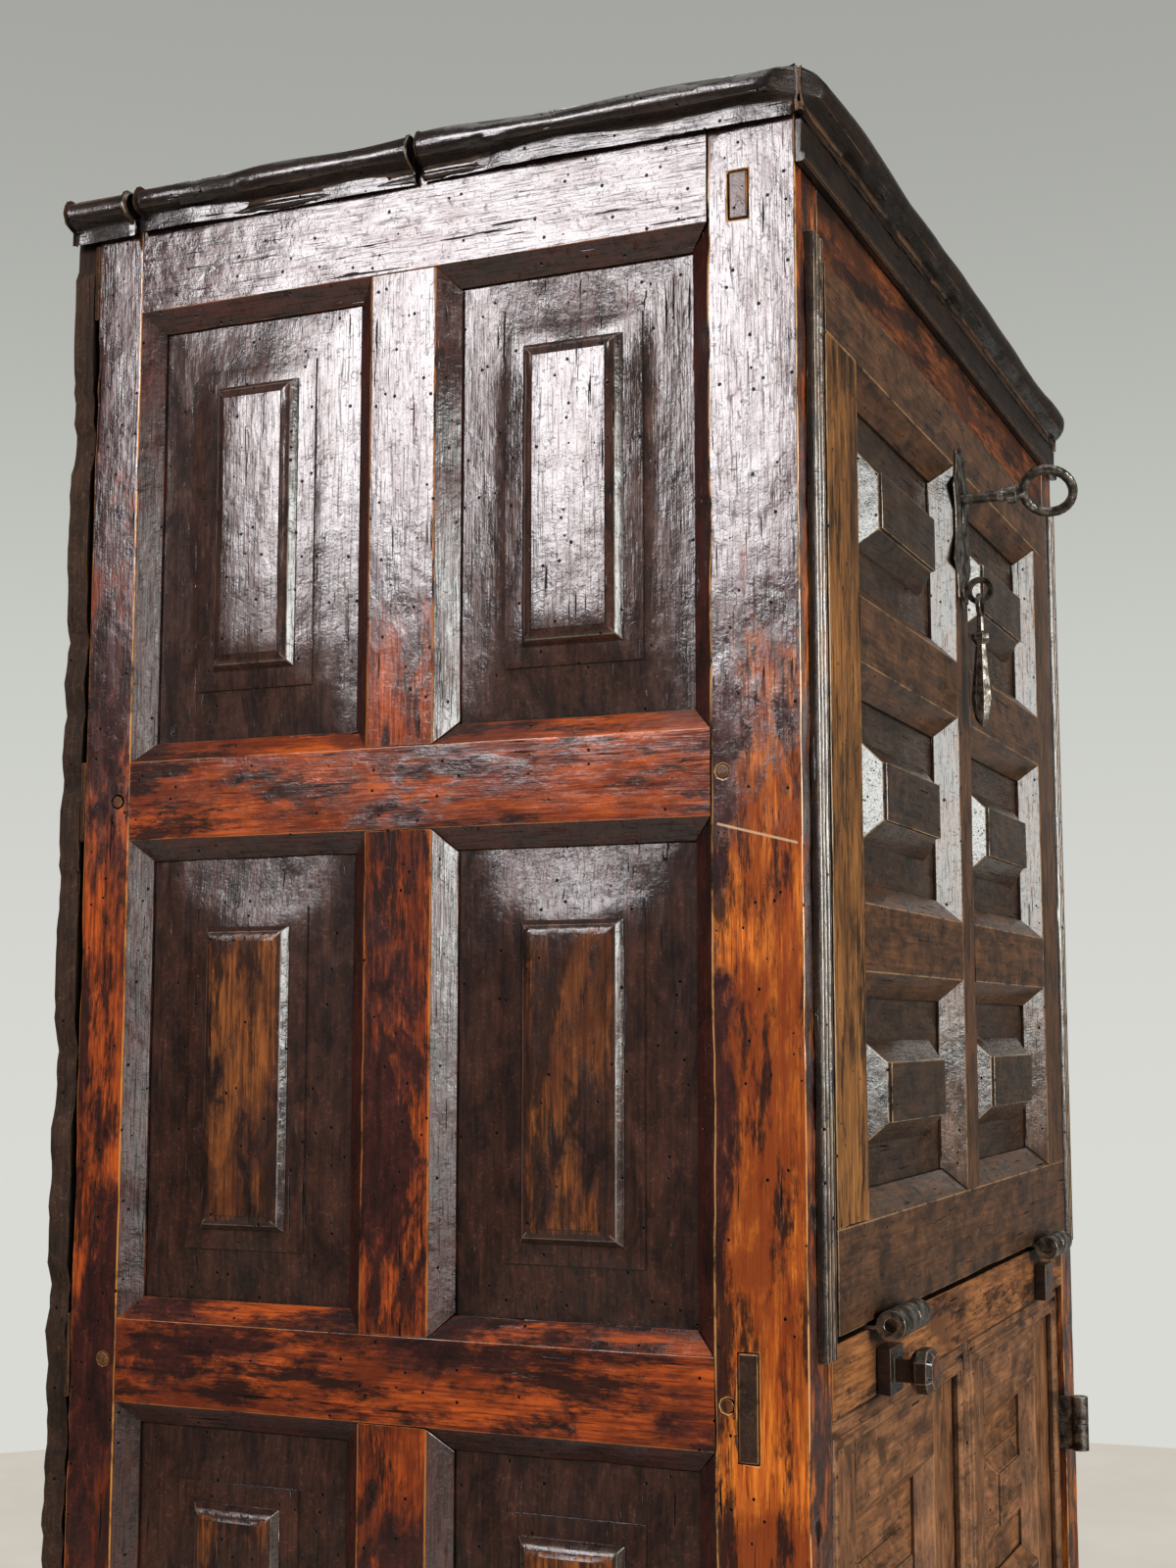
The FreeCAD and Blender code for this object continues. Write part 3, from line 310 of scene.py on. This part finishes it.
# Wood. Each pattern: stretch along and across the grain, then scale, detail, roughness and distortion.
PATTERNS = {
    "streak": (0.045, 1.0, 170, 7, 0.68, 0.4),
    "pores": (0.045, 1.0, 1000, 3, 0.6, 0.0),
    "fine": (0.045, 1.0, 430, 5, 0.65, 0.3),
    "crack": (0.045, 1.0, 420, 2, 0.5, 0.0),
    "patch": (0.45, 1.0, 14, 10, 0.66, 0.7),
    "blot": (0.45, 1.0, 62, 8, 0.72, 0.5),
    "broad": (0.45, 1.0, 90, 2, 0.5, 0.3),
    "stain": (0.45, 1.0, 20, 7, 0.7, 0.4),
    "fleck": (0.2, 1.0, 52, 9, 0.76, 0.0),
    "ripple": (0.8, 0.6, 190, 3, 0.6, 0.6),
    "craze": (0.8, 0.6, 420, 2, 0.5, 1.2),
    "swell": (1.0, 1.0, 32, 2, 0.5, 0.4),
}
# Limits between which a face turns from bevel to flat, looks upwards, or wears from patina to bare wood.
FLAT = (0.8, 0.97)
UPWARD = (0.3, 0.6)
WORN = (0.735, 0.825)
ZONES_TALL = 1.6
BEVEL_WEAR = 0.25
LANE_WEAR = 0.55
FRONT_END_WEAR = 0.6
# Heights between which the varnish turns from dull to polished, and its share of polish below them.
POLISHED = (1.05, 1.17)
LOW_POLISH = 0.52
HOLLOW_REACH = 32 * MM
WORM_CELLS = 95
WORM_FROM = 0.22
KNOCK_CELLS = 11
RELIEF = 1.6 * MM
# Near-black of the painted shade and grime in hollows, then the dark of scars and the pale of scratches.
HOLLOW_GRIME_AND_SHADE = "0b0706"
SCAR_DARK = "060303"
SCRATCH_PALE = "dcb48c"


def patterns(make, coords, grain):
    """The wood's noise patterns by name, with one mapping for each stretch."""
    mapped = {}
    made = {}
    for name, (long, across, *settings) in PATTERNS.items():
        if (long, across) not in mapped:
            mapped[long, across] = make.stretched(coords, grain, long, across)
        made[name] = make.noise(mapped[long, across], *settings)
    return SimpleNamespace(**made)


def worn_through(make, tex, spot, normal, mark, face, zones, proud, lane):
    """How far the patina is gone, from 0 to 1."""
    share = make.math("DIVIDE", spot["Z"], ZONES_TALL)
    zone = make.ramp(share, [(height / ZONES_TALL, grey(worn)) for height, worn in zones])
    flat = make.larger(make.span(make.absolute(normal[face]), *FLAT), make.span(normal["Z"], *UPWARD))
    if proud:
        flat = make.times(flat, make.span(make.absolute(spot[face]), *proud))
    zone = make.times(zone, make.span(flat, 0.0, 1.0, BEVEL_WEAR, 1.0))
    if lane:
        zone = make.times(zone, make.span(spot["Y"], *lane, 1.0, LANE_WEAR))
    if face == "X":
        zone = make.larger(zone, make.span(normal["Y"], -FLAT[1], -FLAT[0], FRONT_END_WEAR, 0.0))
    wear = make.total((tex.patch, 0.62), (tex.blot, 0.3), (tex.streak, 0.08), (zone, 0.42), (mark, 0.04))
    return make.span(wear, *WORN)


def patina_colour(make, tex, dark, warm, crazed):
    """Dark varnish in warm and dark blots, with fine grain and light crazing."""
    patina = make.mix(make.span(tex.blot, 0.32, 0.68), tint(dark), tint(warm))
    patina = make.shaded(patina, make.span(tex.fine, 0.25, 0.75, 0.6, 1.4))
    return make.shaded(patina, make.span(tex.craze, 0.54, 0.7, 0.95, crazed))


def bare_colour(make, tex, bare):
    """Bare wood with its figure, dark pores, remains of varnish and dark flecks along the grain."""
    light, mid, deep = (tint(code) for code in bare)
    figure = make.total((tex.streak, 0.4), (tex.fine, 0.6))
    raw = make.ramp(figure, [(0.3, deep), (0.42, mid), (0.56, light)])
    raw = make.mix(make.span(tex.pores, 0.52, 0.68, 0.0, 0.7), raw, deep)
    raw = make.mix(make.span(tex.stain, 0.4, 0.62, 0.0, 0.9), raw, make.mix(0.5, mid, deep))
    return make.mix(make.span(tex.fleck, 0.49, 0.59, 0.0, 0.92), raw, deep)


def chosen(make, cells, level):
    """1 in the cells whose random level is above the given one, and 0 in the others."""
    return make.span(cells["Color"], level, level + 0.01)


def scars(make, tex, coords, knocks):
    """Worm holes, cracks and knocks. A chosen cell has one hole or knock in it."""
    cells = make.cells(coords, WORM_CELLS)
    worm = make.times(make.span(cells["Distance"], 0.07, 0.11, 1.0, 0.0), chosen(make, cells, WORM_FROM))
    crack = make.times(make.span(tex.crack, 0.28, 0.32, 1.0, 0.0), make.span(tex.patch, 0.45, 0.55))
    cells = make.cells(coords, KNOCK_CELLS)
    ragged = make.math("ADD", cells["Distance"], make.span(tex.blot, 0.3, 0.7, 0.0, 0.09))
    knock = make.times(make.span(ragged, 0.1, 0.15, 0.9, 0.0), chosen(make, cells, knocks))
    return make.larger(make.larger(worm, crack), knock)


def scratched(make, spot, colour, start, end):
    """A pale scratch on the left side, between two (y, z) places."""
    slope = (end[1] - start[1]) / (end[0] - start[0])
    level = make.total((spot["Y"], -slope), (spot["Z"], 1.0))
    away = make.absolute(make.math("SUBTRACT", level, start[1] - slope * start[0]))
    line = make.span(away, 0.4 * MM, 1.0 * MM, 0.85, 0.0)
    for limit in (make.span(spot["Y"], end[0], end[0] + MM),
                  make.span(spot["Y"], start[0] - MM, start[0], 1.0, 0.0),
                  make.span(spot["X"], -MM, MM, 1.0, 0.0)):
        line = make.times(line, limit)
    return make.mix(line, colour, tint(SCRATCH_PALE))


def varnish(make, tex, spot, normal, face, wear, scar, coat):
    """Weight of the clear coat: less in pores, scars, crazing and bare wood, and on low flats."""
    sheen = make.span(tex.pores, 0.5, 0.68, coat, 0.3 * coat)
    polished = make.larger(make.span(spot["Z"], *POLISHED, LOW_POLISH, 1.0),
                           make.span(make.absolute(normal[face]), *FLAT, 1.0, 0.0))
    for share in (make.span(scar, 0.0, 1.0, 1.0, 0.05), make.span(tex.craze, 0.3, 0.44, 0.45, 1.0),
                  make.span(wear, 0.0, 1.0, 1.0, 0.6), polished):
        sheen = make.times(sheen, share)
    return sheen


def wood(name, grain, face, dark, warm, bare, zones, edge="c27a38", rub=0.8, coat=0.9, gloss=0.34,
         crazed=1.7, knocks=1.0, proud=None, lane=None, scratch=None):
    """Old varnished wood: patina over streaked bare wood, worn through where the zones by height say.

    The face is the axis that the flats look along; bevels and hollows keep more of their patina, and the
    pieces of a side are worn where they end at the front. Edges take the edge colour by the share rub: worn
    wood on most pieces, and a painted highlight along the arrises on the side panels and the reeds, whose
    edge colour is pale. The coat is the weight of the varnish, gloss the roughness under it, and crazed how
    light its crazing is. Cells whose random level is above knocks have a knock, so at 1 there are none.
    Where a pair of distances along the face's axis is given as proud, only what stands out that far wears
    through. A lane is a pair of places between which the wear falls off towards the back. A scratch has two
    (y, z) ends.
    """
    make = new_material(name)
    place = make.add("TexCoord").outputs
    coords = place["Object"]
    tex = patterns(make, coords, grain)
    spot = make.split(coords)
    normal = make.split(place["Normal"])
    mark = make.edge_mark()
    wear = worn_through(make, tex, spot, normal, mark, face, zones, proud, lane)
    scar = scars(make, tex, coords, knocks)

    colour = make.mix(wear, patina_colour(make, tex, dark, warm, crazed), bare_colour(make, tex, bare))
    # Edges take the edge colour: worn wood, and on the side panels and reeds a painted highlight along the
    # arrises.
    rubbed_and_highlit = make.times(make.span(mark, 0.3, 0.95), make.span(tex.blot, 0.36, 0.54, 0.0, rub))
    colour = make.mix(rubbed_and_highlit, colour, tint(edge))
    # Painted shade: hollows, creases and gaps between parts turn near-black by how closed in they are,
    # standing for grime there too.
    openness = make.add("AmbientOcclusion", {"Distance": HOLLOW_REACH}, samples=4).outputs["AO"]
    colour = make.mix(make.span(openness, 0.35, 0.92, 0.95, 0.0), colour, tint(HOLLOW_GRIME_AND_SHADE))
    colour = make.mix(scar, colour, tint(SCAR_DARK))
    if scratch:
        colour = scratched(make, spot, colour, *scratch)

    rise = make.total((tex.streak, 0.16), (tex.pores, 0.1), (tex.ripple, 0.12), (tex.craze, 0.1),
                      (tex.broad, 0.4), (tex.swell, 0.8), (wear, -0.1), (scar, -1.2))
    bump = make.bump(rise, 0.5, RELIEF)
    rough = make.math("ADD", make.total((tex.blot, 0.3), (wear, 0.1), (scar, 0.5)), gloss)
    inputs = {"Base Color": colour, "Roughness": rough, "Normal": bump, "Specular IOR Level": 0.2}
    if coat:
        inputs["Coat Weight"] = varnish(make, tex, spot, normal, face, wear, scar, coat)
        inputs["Coat Roughness"] = make.span(tex.blot, 0.35, 0.7, 0.1, 0.24)
        inputs["Coat Normal"] = bump
        inputs["Coat IOR"] = 1.95
    return make.output(make.add("BsdfPrincipled", inputs).outputs[0])


RUST = "2c1a12"
HAMMERING = 1.0 * MM


def iron(name, dark, bright, gloss):
    """Forged iron, dark in the hollows and polished by hands on the high parts."""
    make = new_material(name)
    coords = make.add("TexCoord").outputs["Object"]
    hammered = make.noise(coords, 130, 4, 0.55, 0.3)
    fine = make.noise(coords, 900, 4, 0.65)
    rub = make.total((hammered, 0.8), (fine, 0.3), (make.edge_mark(), 0.25))
    rub = make.span(rub, 0.48, 0.85)
    colour = make.mix(rub, tint(dark), tint(bright))
    rusty = make.span(make.noise(coords, 60, 6, 0.7), 0.58, 0.72, 0.0, 0.55)
    colour = make.mix(rusty, colour, tint(RUST))
    rough = make.span(rub, 0.0, 1.0, gloss + 0.25, gloss)
    bump = make.bump(make.total((hammered, 0.8), (fine, 0.2)), 0.5, HAMMERING)
    surface = make.add("BsdfPrincipled", {"Base Color": colour, "Roughness": rough, "Normal": bump,
                                          "Metallic": 0.85})
    return make.output(surface.outputs[0])


# Bare woods: light, middle and deep colour.
BARE = ("cc5c1b", "86320c", "1a0905")
BARE_POST = ("f88c2c", "b44c10", "1c0a05")
BARE_DULL = ("9c5a26", "623114", "241006")
BARE_FRONT = ("ae7040", "784b2b", "2e1a0f")
# The frieze's bare wood is darker than the front rails', in part a painted shade standing for the cornice's
# shadow.
BARE_FRIEZE_SHADED = ("8c4a22", "4e2713", "1c0e08")
BARE_FALL = ("9c7048", "6d4c30", "2d1f14")
BARE_DOOR = ("c08650", "a36b3e", "6a4224")
BARE_GOLD = ("a46c36", "6e4522", "20130a")
BARE_ROUGH = ("7a604a", "57402e", "2a1d14")
BARE_INNER = ("94704a", "74522f", "3c2817")
# Patinas: dark and warm colour.
RED_DARK = ("22100c", "4a1c13")
PANEL_DARK = ("20130e", "4a2a1d")
BLOCK_DARK = ("1c110b", "47301f")
BROWN_DARK = ("20150f", "412a1c")
FRIEZE_DARK = ("2c170e", "57290f")
PEG_DARK = ("3a2418", "6e4830")
LOPER_DARK = ("1a120e", "33221a")
FALL_DARK = ("2a1a10", "664229")
GOLD_DARK = ("24160a", "5c3d1c")
DOOR_DARK = ("472d1b", "9a6642")
ROUGH_DARK = ("2a1f18", "463226")
INNER_DARK = ("3a281c", "5a4130")
NOSE_DARK = ("110a07", "28180e")
# Zones: (height, wear) pairs, from the floor to above the cornice.
EVEN = [(0.0, 0.62), (1.6, 0.62)]
DARK = [(0.0, 0.3), (1.6, 0.3)]
KEPT = [(0.0, 0.0), (1.6, 0.0)]
BARED = [(0.0, 0.85), (1.6, 0.85)]
PANEL_ZONES = [(0.0, 0.66), (1.05, 0.66), (1.15, 0.45), (1.25, 0.15), (1.6, 0.0)]
RAIL_ZONES = [(0.0, 0.66), (0.8, 0.68), (0.95, 0.5), (1.1, 0.9), (1.17, 0.8), (1.26, 0.4), (1.6, 0.0)]
POST_ZONES = [(0.0, 0.84), (0.8, 0.9), (1.05, 0.88), (1.2, 0.62), (1.32, 0.3), (1.6, 0.05)]
REAR_ZONES = [(0.0, 0.56), (0.9, 0.62), (1.3, 0.6), (1.38, 0.2), (1.6, 0.0)]
# Places: distances from the middle at which a side's tablets stand proud, and y and z on the posts.
TABLET_PROUD = (0.3768, 0.3788)
POST_LANE = (-0.18, -0.15)
POST_SCRATCH = ((-0.156, 1.0955), (-0.204, 1.083))
# Finishes that several woods share.
UNVARNISHED = {"coat": 0.0, "gloss": 0.6, "rub": 0.25}
INSIDE = {"coat": 0.0, "gloss": 0.5, "rub": 0.3}
FALL_FRAME = {"edge": "a8845f", "coat": 0.5, "crazed": 1.3}
DOOR_FINISH = {"edge": "a87a50", "coat": 0.4, "crazed": 1.15}
MATERIALS = {
    "post": wood("post_wood", "Z", "X", *RED_DARK, BARE_POST, POST_ZONES, edge="e6aa66", rub=1.0,
                 knocks=0.5, lane=POST_LANE, scratch=POST_SCRATCH),
    "rear_post": wood("rear_post_wood", "Z", "X", *RED_DARK, BARE, REAR_ZONES, edge="d8903f", rub=1.0),
    "side_rails": wood("rail_wood", "Y", "X", *RED_DARK, BARE, RAIL_ZONES, knocks=0.7),
    "side_muntins": wood("muntin_wood", "Z", "X", *RED_DARK, BARE, RAIL_ZONES),
    # Painted highlight: the side panels' pale grey edge colour lights their arrises.
    "side_panels": wood("panel_wood", "Z", "X", *PANEL_DARK, BARE_DULL, PANEL_ZONES, edge="8f8378", rub=0.6,
                        proud=TABLET_PROUD),
    "front_along": wood("front_wood", "X", "Y", *BROWN_DARK, BARE_FRONT, BARED, coat=0.4),
    "frieze": wood("frieze_wood", "X", "Y", *FRIEZE_DARK, BARE_FRIEZE_SHADED, BARED, coat=0.4),
    # Painted highlight: the reeds' pale edge colour, at full share, draws bright lines along them.
    "front_up": wood("reed_wood", "Z", "Y", *BROWN_DARK, BARE_FRONT, EVEN, edge="e6c49c", rub=1.0,
                     coat=1.0),
    "cornice_x": wood("cornice_wood", "X", "Y", *NOSE_DARK, BARE_DULL, KEPT, edge="7a5638", coat=0.45),
    "cornice_y": wood("cornice_side_wood", "Y", "X", *NOSE_DARK, BARE_DULL, KEPT, edge="7a5638", coat=0.8),
    "peg": wood("peg_wood", "Z", "X", *PEG_DARK, BARE_DULL, EVEN, coat=0.8),
    "back": wood("back_wood", "Z", "Y", *ROUGH_DARK, BARE_ROUGH, EVEN, **UNVARNISHED),
    "batten": wood("batten_wood", "X", "Y", *ROUGH_DARK, BARE_ROUGH, EVEN, **UNVARNISHED),
    "inner_x": wood("inner_wood", "X", "Z", *INNER_DARK, BARE_INNER, EVEN, **INSIDE),
    "inner_y": wood("inner_side_wood", "Y", "Z", *INNER_DARK, BARE_INNER, EVEN, **INSIDE),
    "loper": wood("loper_wood", "Y", "X", *LOPER_DARK, BARE_DULL, DARK, edge="8f7460"),
    "fall_x": wood("fall_wood", "X", "Y", *FALL_DARK, BARE_FALL, DARK, **FALL_FRAME),
    "fall_z": wood("fall_stile_wood", "Z", "Y", *FALL_DARK, BARE_FALL, DARK, **FALL_FRAME),
    "fall_panel": wood("fall_panel_wood", "X", "Y", *BLOCK_DARK, BARE_FALL, DARK, edge="b09474", rub=1.0,
                       coat=0.8),
    "fall_light": wood("fall_light_wood", "Z", "Y", *GOLD_DARK, BARE_GOLD, BARED, edge="c89a60", coat=0.4),
    "door_x": wood("door_wood", "X", "Y", *DOOR_DARK, BARE_DOOR, DARK, **DOOR_FINISH),
    "door_z": wood("door_stile_wood", "Z", "Y", *DOOR_DARK, BARE_DOOR, DARK, **DOOR_FINISH),
    "iron": iron("iron", "332b26", "b0a498", 0.2),
    "key_iron": iron("key_iron", "5a554e", "d6d0c6", 0.14),
}

# What each node is made of and how worn it is, by how its name starts; the first row that fits holds.
# Material, then in mm the grid step, edge rounding, and depth of chips and waves.
WEAR = {
    "key": ("key_iron", 30, 0.4, 0.2, 0.1),
    ("fall_hinge", "door_hinge", "left_door_hinge", "right_door_hinge", "lock_", "pull_staple",
     "drop_pull"): ("iron", 30, 0.4, 0.2, 0.1),
    "front_post": ("post", 12, 1.4, 3.6, 0.6),
    "rear_post": ("rear_post", 12, 1.1, 2.2, 0.5),
    "joint_pegs": ("peg", 40, 0.6, 0.4, 0.2),
    "side_rails": ("side_rails", 12, 0.5, 1.2, 0.4),
    "side_muntins": ("side_muntins", 12, 1.2, 1.6, 0.4),
    "side_panels": ("side_panels", 12, 0.8, 0.6, 0.4),
    ("front_bottom_rail", "front_mid_rail"): ("front_along", 14, 1.4, 1.6, 0.4),
    "front_top_rail": ("frieze", 14, 1.4, 1.6, 0.4),
    "frieze_moulding": ("cornice_x", 10, 0.5, 0.8, 0.3),
    "surround_moulding": ("front_up", 10, 0.3, 0.6, 0.3),
    "cornice_front": ("cornice_x", 7, 0.9, 4.5, 4.0),
    "cornice_left": ("cornice_y", 7, 0.9, 5.5, 6.5),
    "cornice_right": ("cornice_y", 7, 0.9, 3.0, 2.0),
    "top_board": ("batten", 40, 1.0, 1.0, 0.4),
    "back_battens": ("batten", 20, 1.5, 2.0, 0.4),
    "back_boards": ("back", 7, 0.5, 0.8, 0.8),
    ("bottom_board", "cupboard_shelf", "desk_floor", "upper_shelf"): ("inner_x", 40, 1.0, 0.8, 0.3),
    "shelf_bearers": ("inner_y", 40, 1.0, 0.6, 0.2),
    "fall_stops": ("inner_x", 40, 0.8, 0.6, 0.2),
    "loper_guides": ("inner_y", 40, 0.8, 0.6, 0.2),
    "loper": ("loper", 12, 0.8, 0.8, 0.2),
    "fall_stile_left": ("fall_light", 12, 1.2, 1.2, 0.4),
    "fall_stile": ("fall_z", 12, 1.2, 1.2, 0.4),
    "fall_muntin": ("fall_z", 12, 1.0, 1.2, 0.4),
    "fall_panel": ("fall_panel", 12, 1.0, 1.2, 0.4),
    "fall_": ("fall_x", 12, 1.0, 1.2, 0.4),
    ("left_door_stiles", "right_door_stiles"): ("door_z", 12, 1.2, 1.2, 0.4),
    ("left_door_", "right_door_"): ("door_x", 12, 0.9, 1.0, 0.4),
}
SEED_STEP = 1.7

for number, node in enumerate(sorted(frame["nodes"])):
    material, *wear = next(row for start, row in WEAR.items() if node.startswith(start))
    piece = weathered(node, *wear, SEED_STEP * number)
    piece.data.materials.append(MATERIALS[material])


# Camera fitted to the long straight edges of the photograph, whose frame is 1200 x 1600.
YAW = math.radians(66.689)
PITCH = math.radians(6.716)
EYE = (-1.471, -0.548, 0.9815)
FOCAL_PIXELS = 2115.4
FRAME_PIXELS_HIGH = 1600


def aim(thing, place, towards):
    thing.location = place
    thing.rotation_euler = Vector(towards).to_track_quat("-Z", "Y").to_euler()
    bpy.context.scene.collection.objects.link(thing)
    return thing


lens = bpy.data.cameras.new("camera")
lens.sensor_fit = "VERTICAL"
lens.sensor_height = 36.0
lens.lens = FOCAL_PIXELS * lens.sensor_height / FRAME_PIXELS_HIGH
view = (math.sin(YAW) * math.cos(PITCH), math.cos(YAW) * math.cos(PITCH), math.sin(PITCH))
bpy.context.scene.camera = aim(bpy.data.objects.new("camera", lens), EYE, view)


# Soft lamps: place, point aimed at, size, watts and colour
def panel_light(name, place, towards, wide, high, power, colour):
    lamp = bpy.data.lights.new(name, "AREA")
    lamp.shape = "RECTANGLE"
    lamp.size = wide
    lamp.size_y = high
    lamp.energy = power
    lamp.color = colour
    return aim(bpy.data.objects.new(name, lamp), place, Vector(towards) - Vector(place))


panel_light("overhead", (-0.8, -0.3, 3.6), (0.0, 0.0, 0.9), 2.4, 2.4, 26, (1.0, 0.98, 0.95))
panel_light("window", (-3.1, 1.2, 2.5), (-0.4, 0.85, 2.25), 1.4, 1.15, 58, (1.0, 0.94, 0.96))
panel_light("front_window", (-1.1, -3.7, 1.7), (-0.2, -0.2, 1.1), 3.4, 1.4, 130, (0.97, 1.0, 0.97))
panel_light("far_window", (-3.65, -3.7, 1.5), (-0.38, 0.1, 1.1), 1.9, 2.5, 25, (1.0, 0.98, 0.94))


# Pale floor. It gives back less light than the camera sees in it, and keeps the object's shadow.
FLOOR_RADIUS = 3.7
FLOOR_DROP = 0.5 * MM
FLOOR_DULL = 0.5
FLOOR_GLOW = 1.04
FLOOR_LIFT = 0.75
FLOOR_TINTS = ("dcd4c8", "e2dbd0")


def floor_paint():
    make = new_material("floor_paint")
    speckle = make.noise(make.add("TexCoord").outputs["Object"], 3.0, 5)
    pale = make.mix(make.span(speckle, 0.3, 0.7), *map(tint, FLOOR_TINTS))
    dull = make.shaded(pale, grey(FLOOR_DULL))
    paint = make.add("BsdfPrincipled", {"Base Color": dull, "Roughness": 0.55}).outputs[0]
    glow = make.add("Emission", {"Color": pale, "Strength": FLOOR_GLOW}).outputs[0]
    lift = make.times(make.add("LightPath").outputs["Is Camera Ray"], FLOOR_LIFT)
    return make.output(make.add("MixShader", {0: lift, 1: paint, 2: glow}).outputs[0])


disc = bmesh.new()
bmesh.ops.create_circle(disc, cap_ends=True, radius=FLOOR_RADIUS, segments=96)
floor_data = bpy.data.meshes.new("floor")
disc.to_mesh(floor_data)
disc.free()
floor_data.materials.append(floor_paint())
floor = bpy.data.objects.new("floor", floor_data)
floor.location.z = -FLOOR_DROP
bpy.context.scene.collection.objects.link(floor)

# The room: a pale wall behind that darkens upwards; its other sides are dim where polish reflects them.
AMBIENT = 0.35
ROOM_DIM = "33302d"
WALL = ((0.0, "dadad5"), (0.45, "c8cac4"), (1.0, "a4a5a0"))


def room_world():
    make = Shader(bpy.data.worlds.new("room"))
    rays = make.add("LightPath").outputs
    heading = make.split(make.add("TexCoord").outputs["Generated"])
    wall = make.ramp(make.span(heading["Z"], -0.1, 0.5), [(height, tint(code)) for height, code in WALL])
    behind = make.times(make.span(heading["Y"], -0.3, 0.25, 0.1, 1.0), make.span(heading["X"], -0.2, 0.6))
    reflected = make.mix(behind, tint(ROOM_DIM), wall)
    ambient = make.shaded(wall, grey(AMBIENT))
    seen = make.larger(rays["Is Camera Ray"], rays["Is Transmission Ray"])
    colour = make.mix(seen, make.mix(rays["Is Glossy Ray"], ambient, reflected), wall)
    return make.output(make.add("Background", {"Color": colour}).outputs[0], "OutputWorld")


bpy.context.scene.world = room_world()
bpy.context.scene.view_settings.view_transform = "Standard"
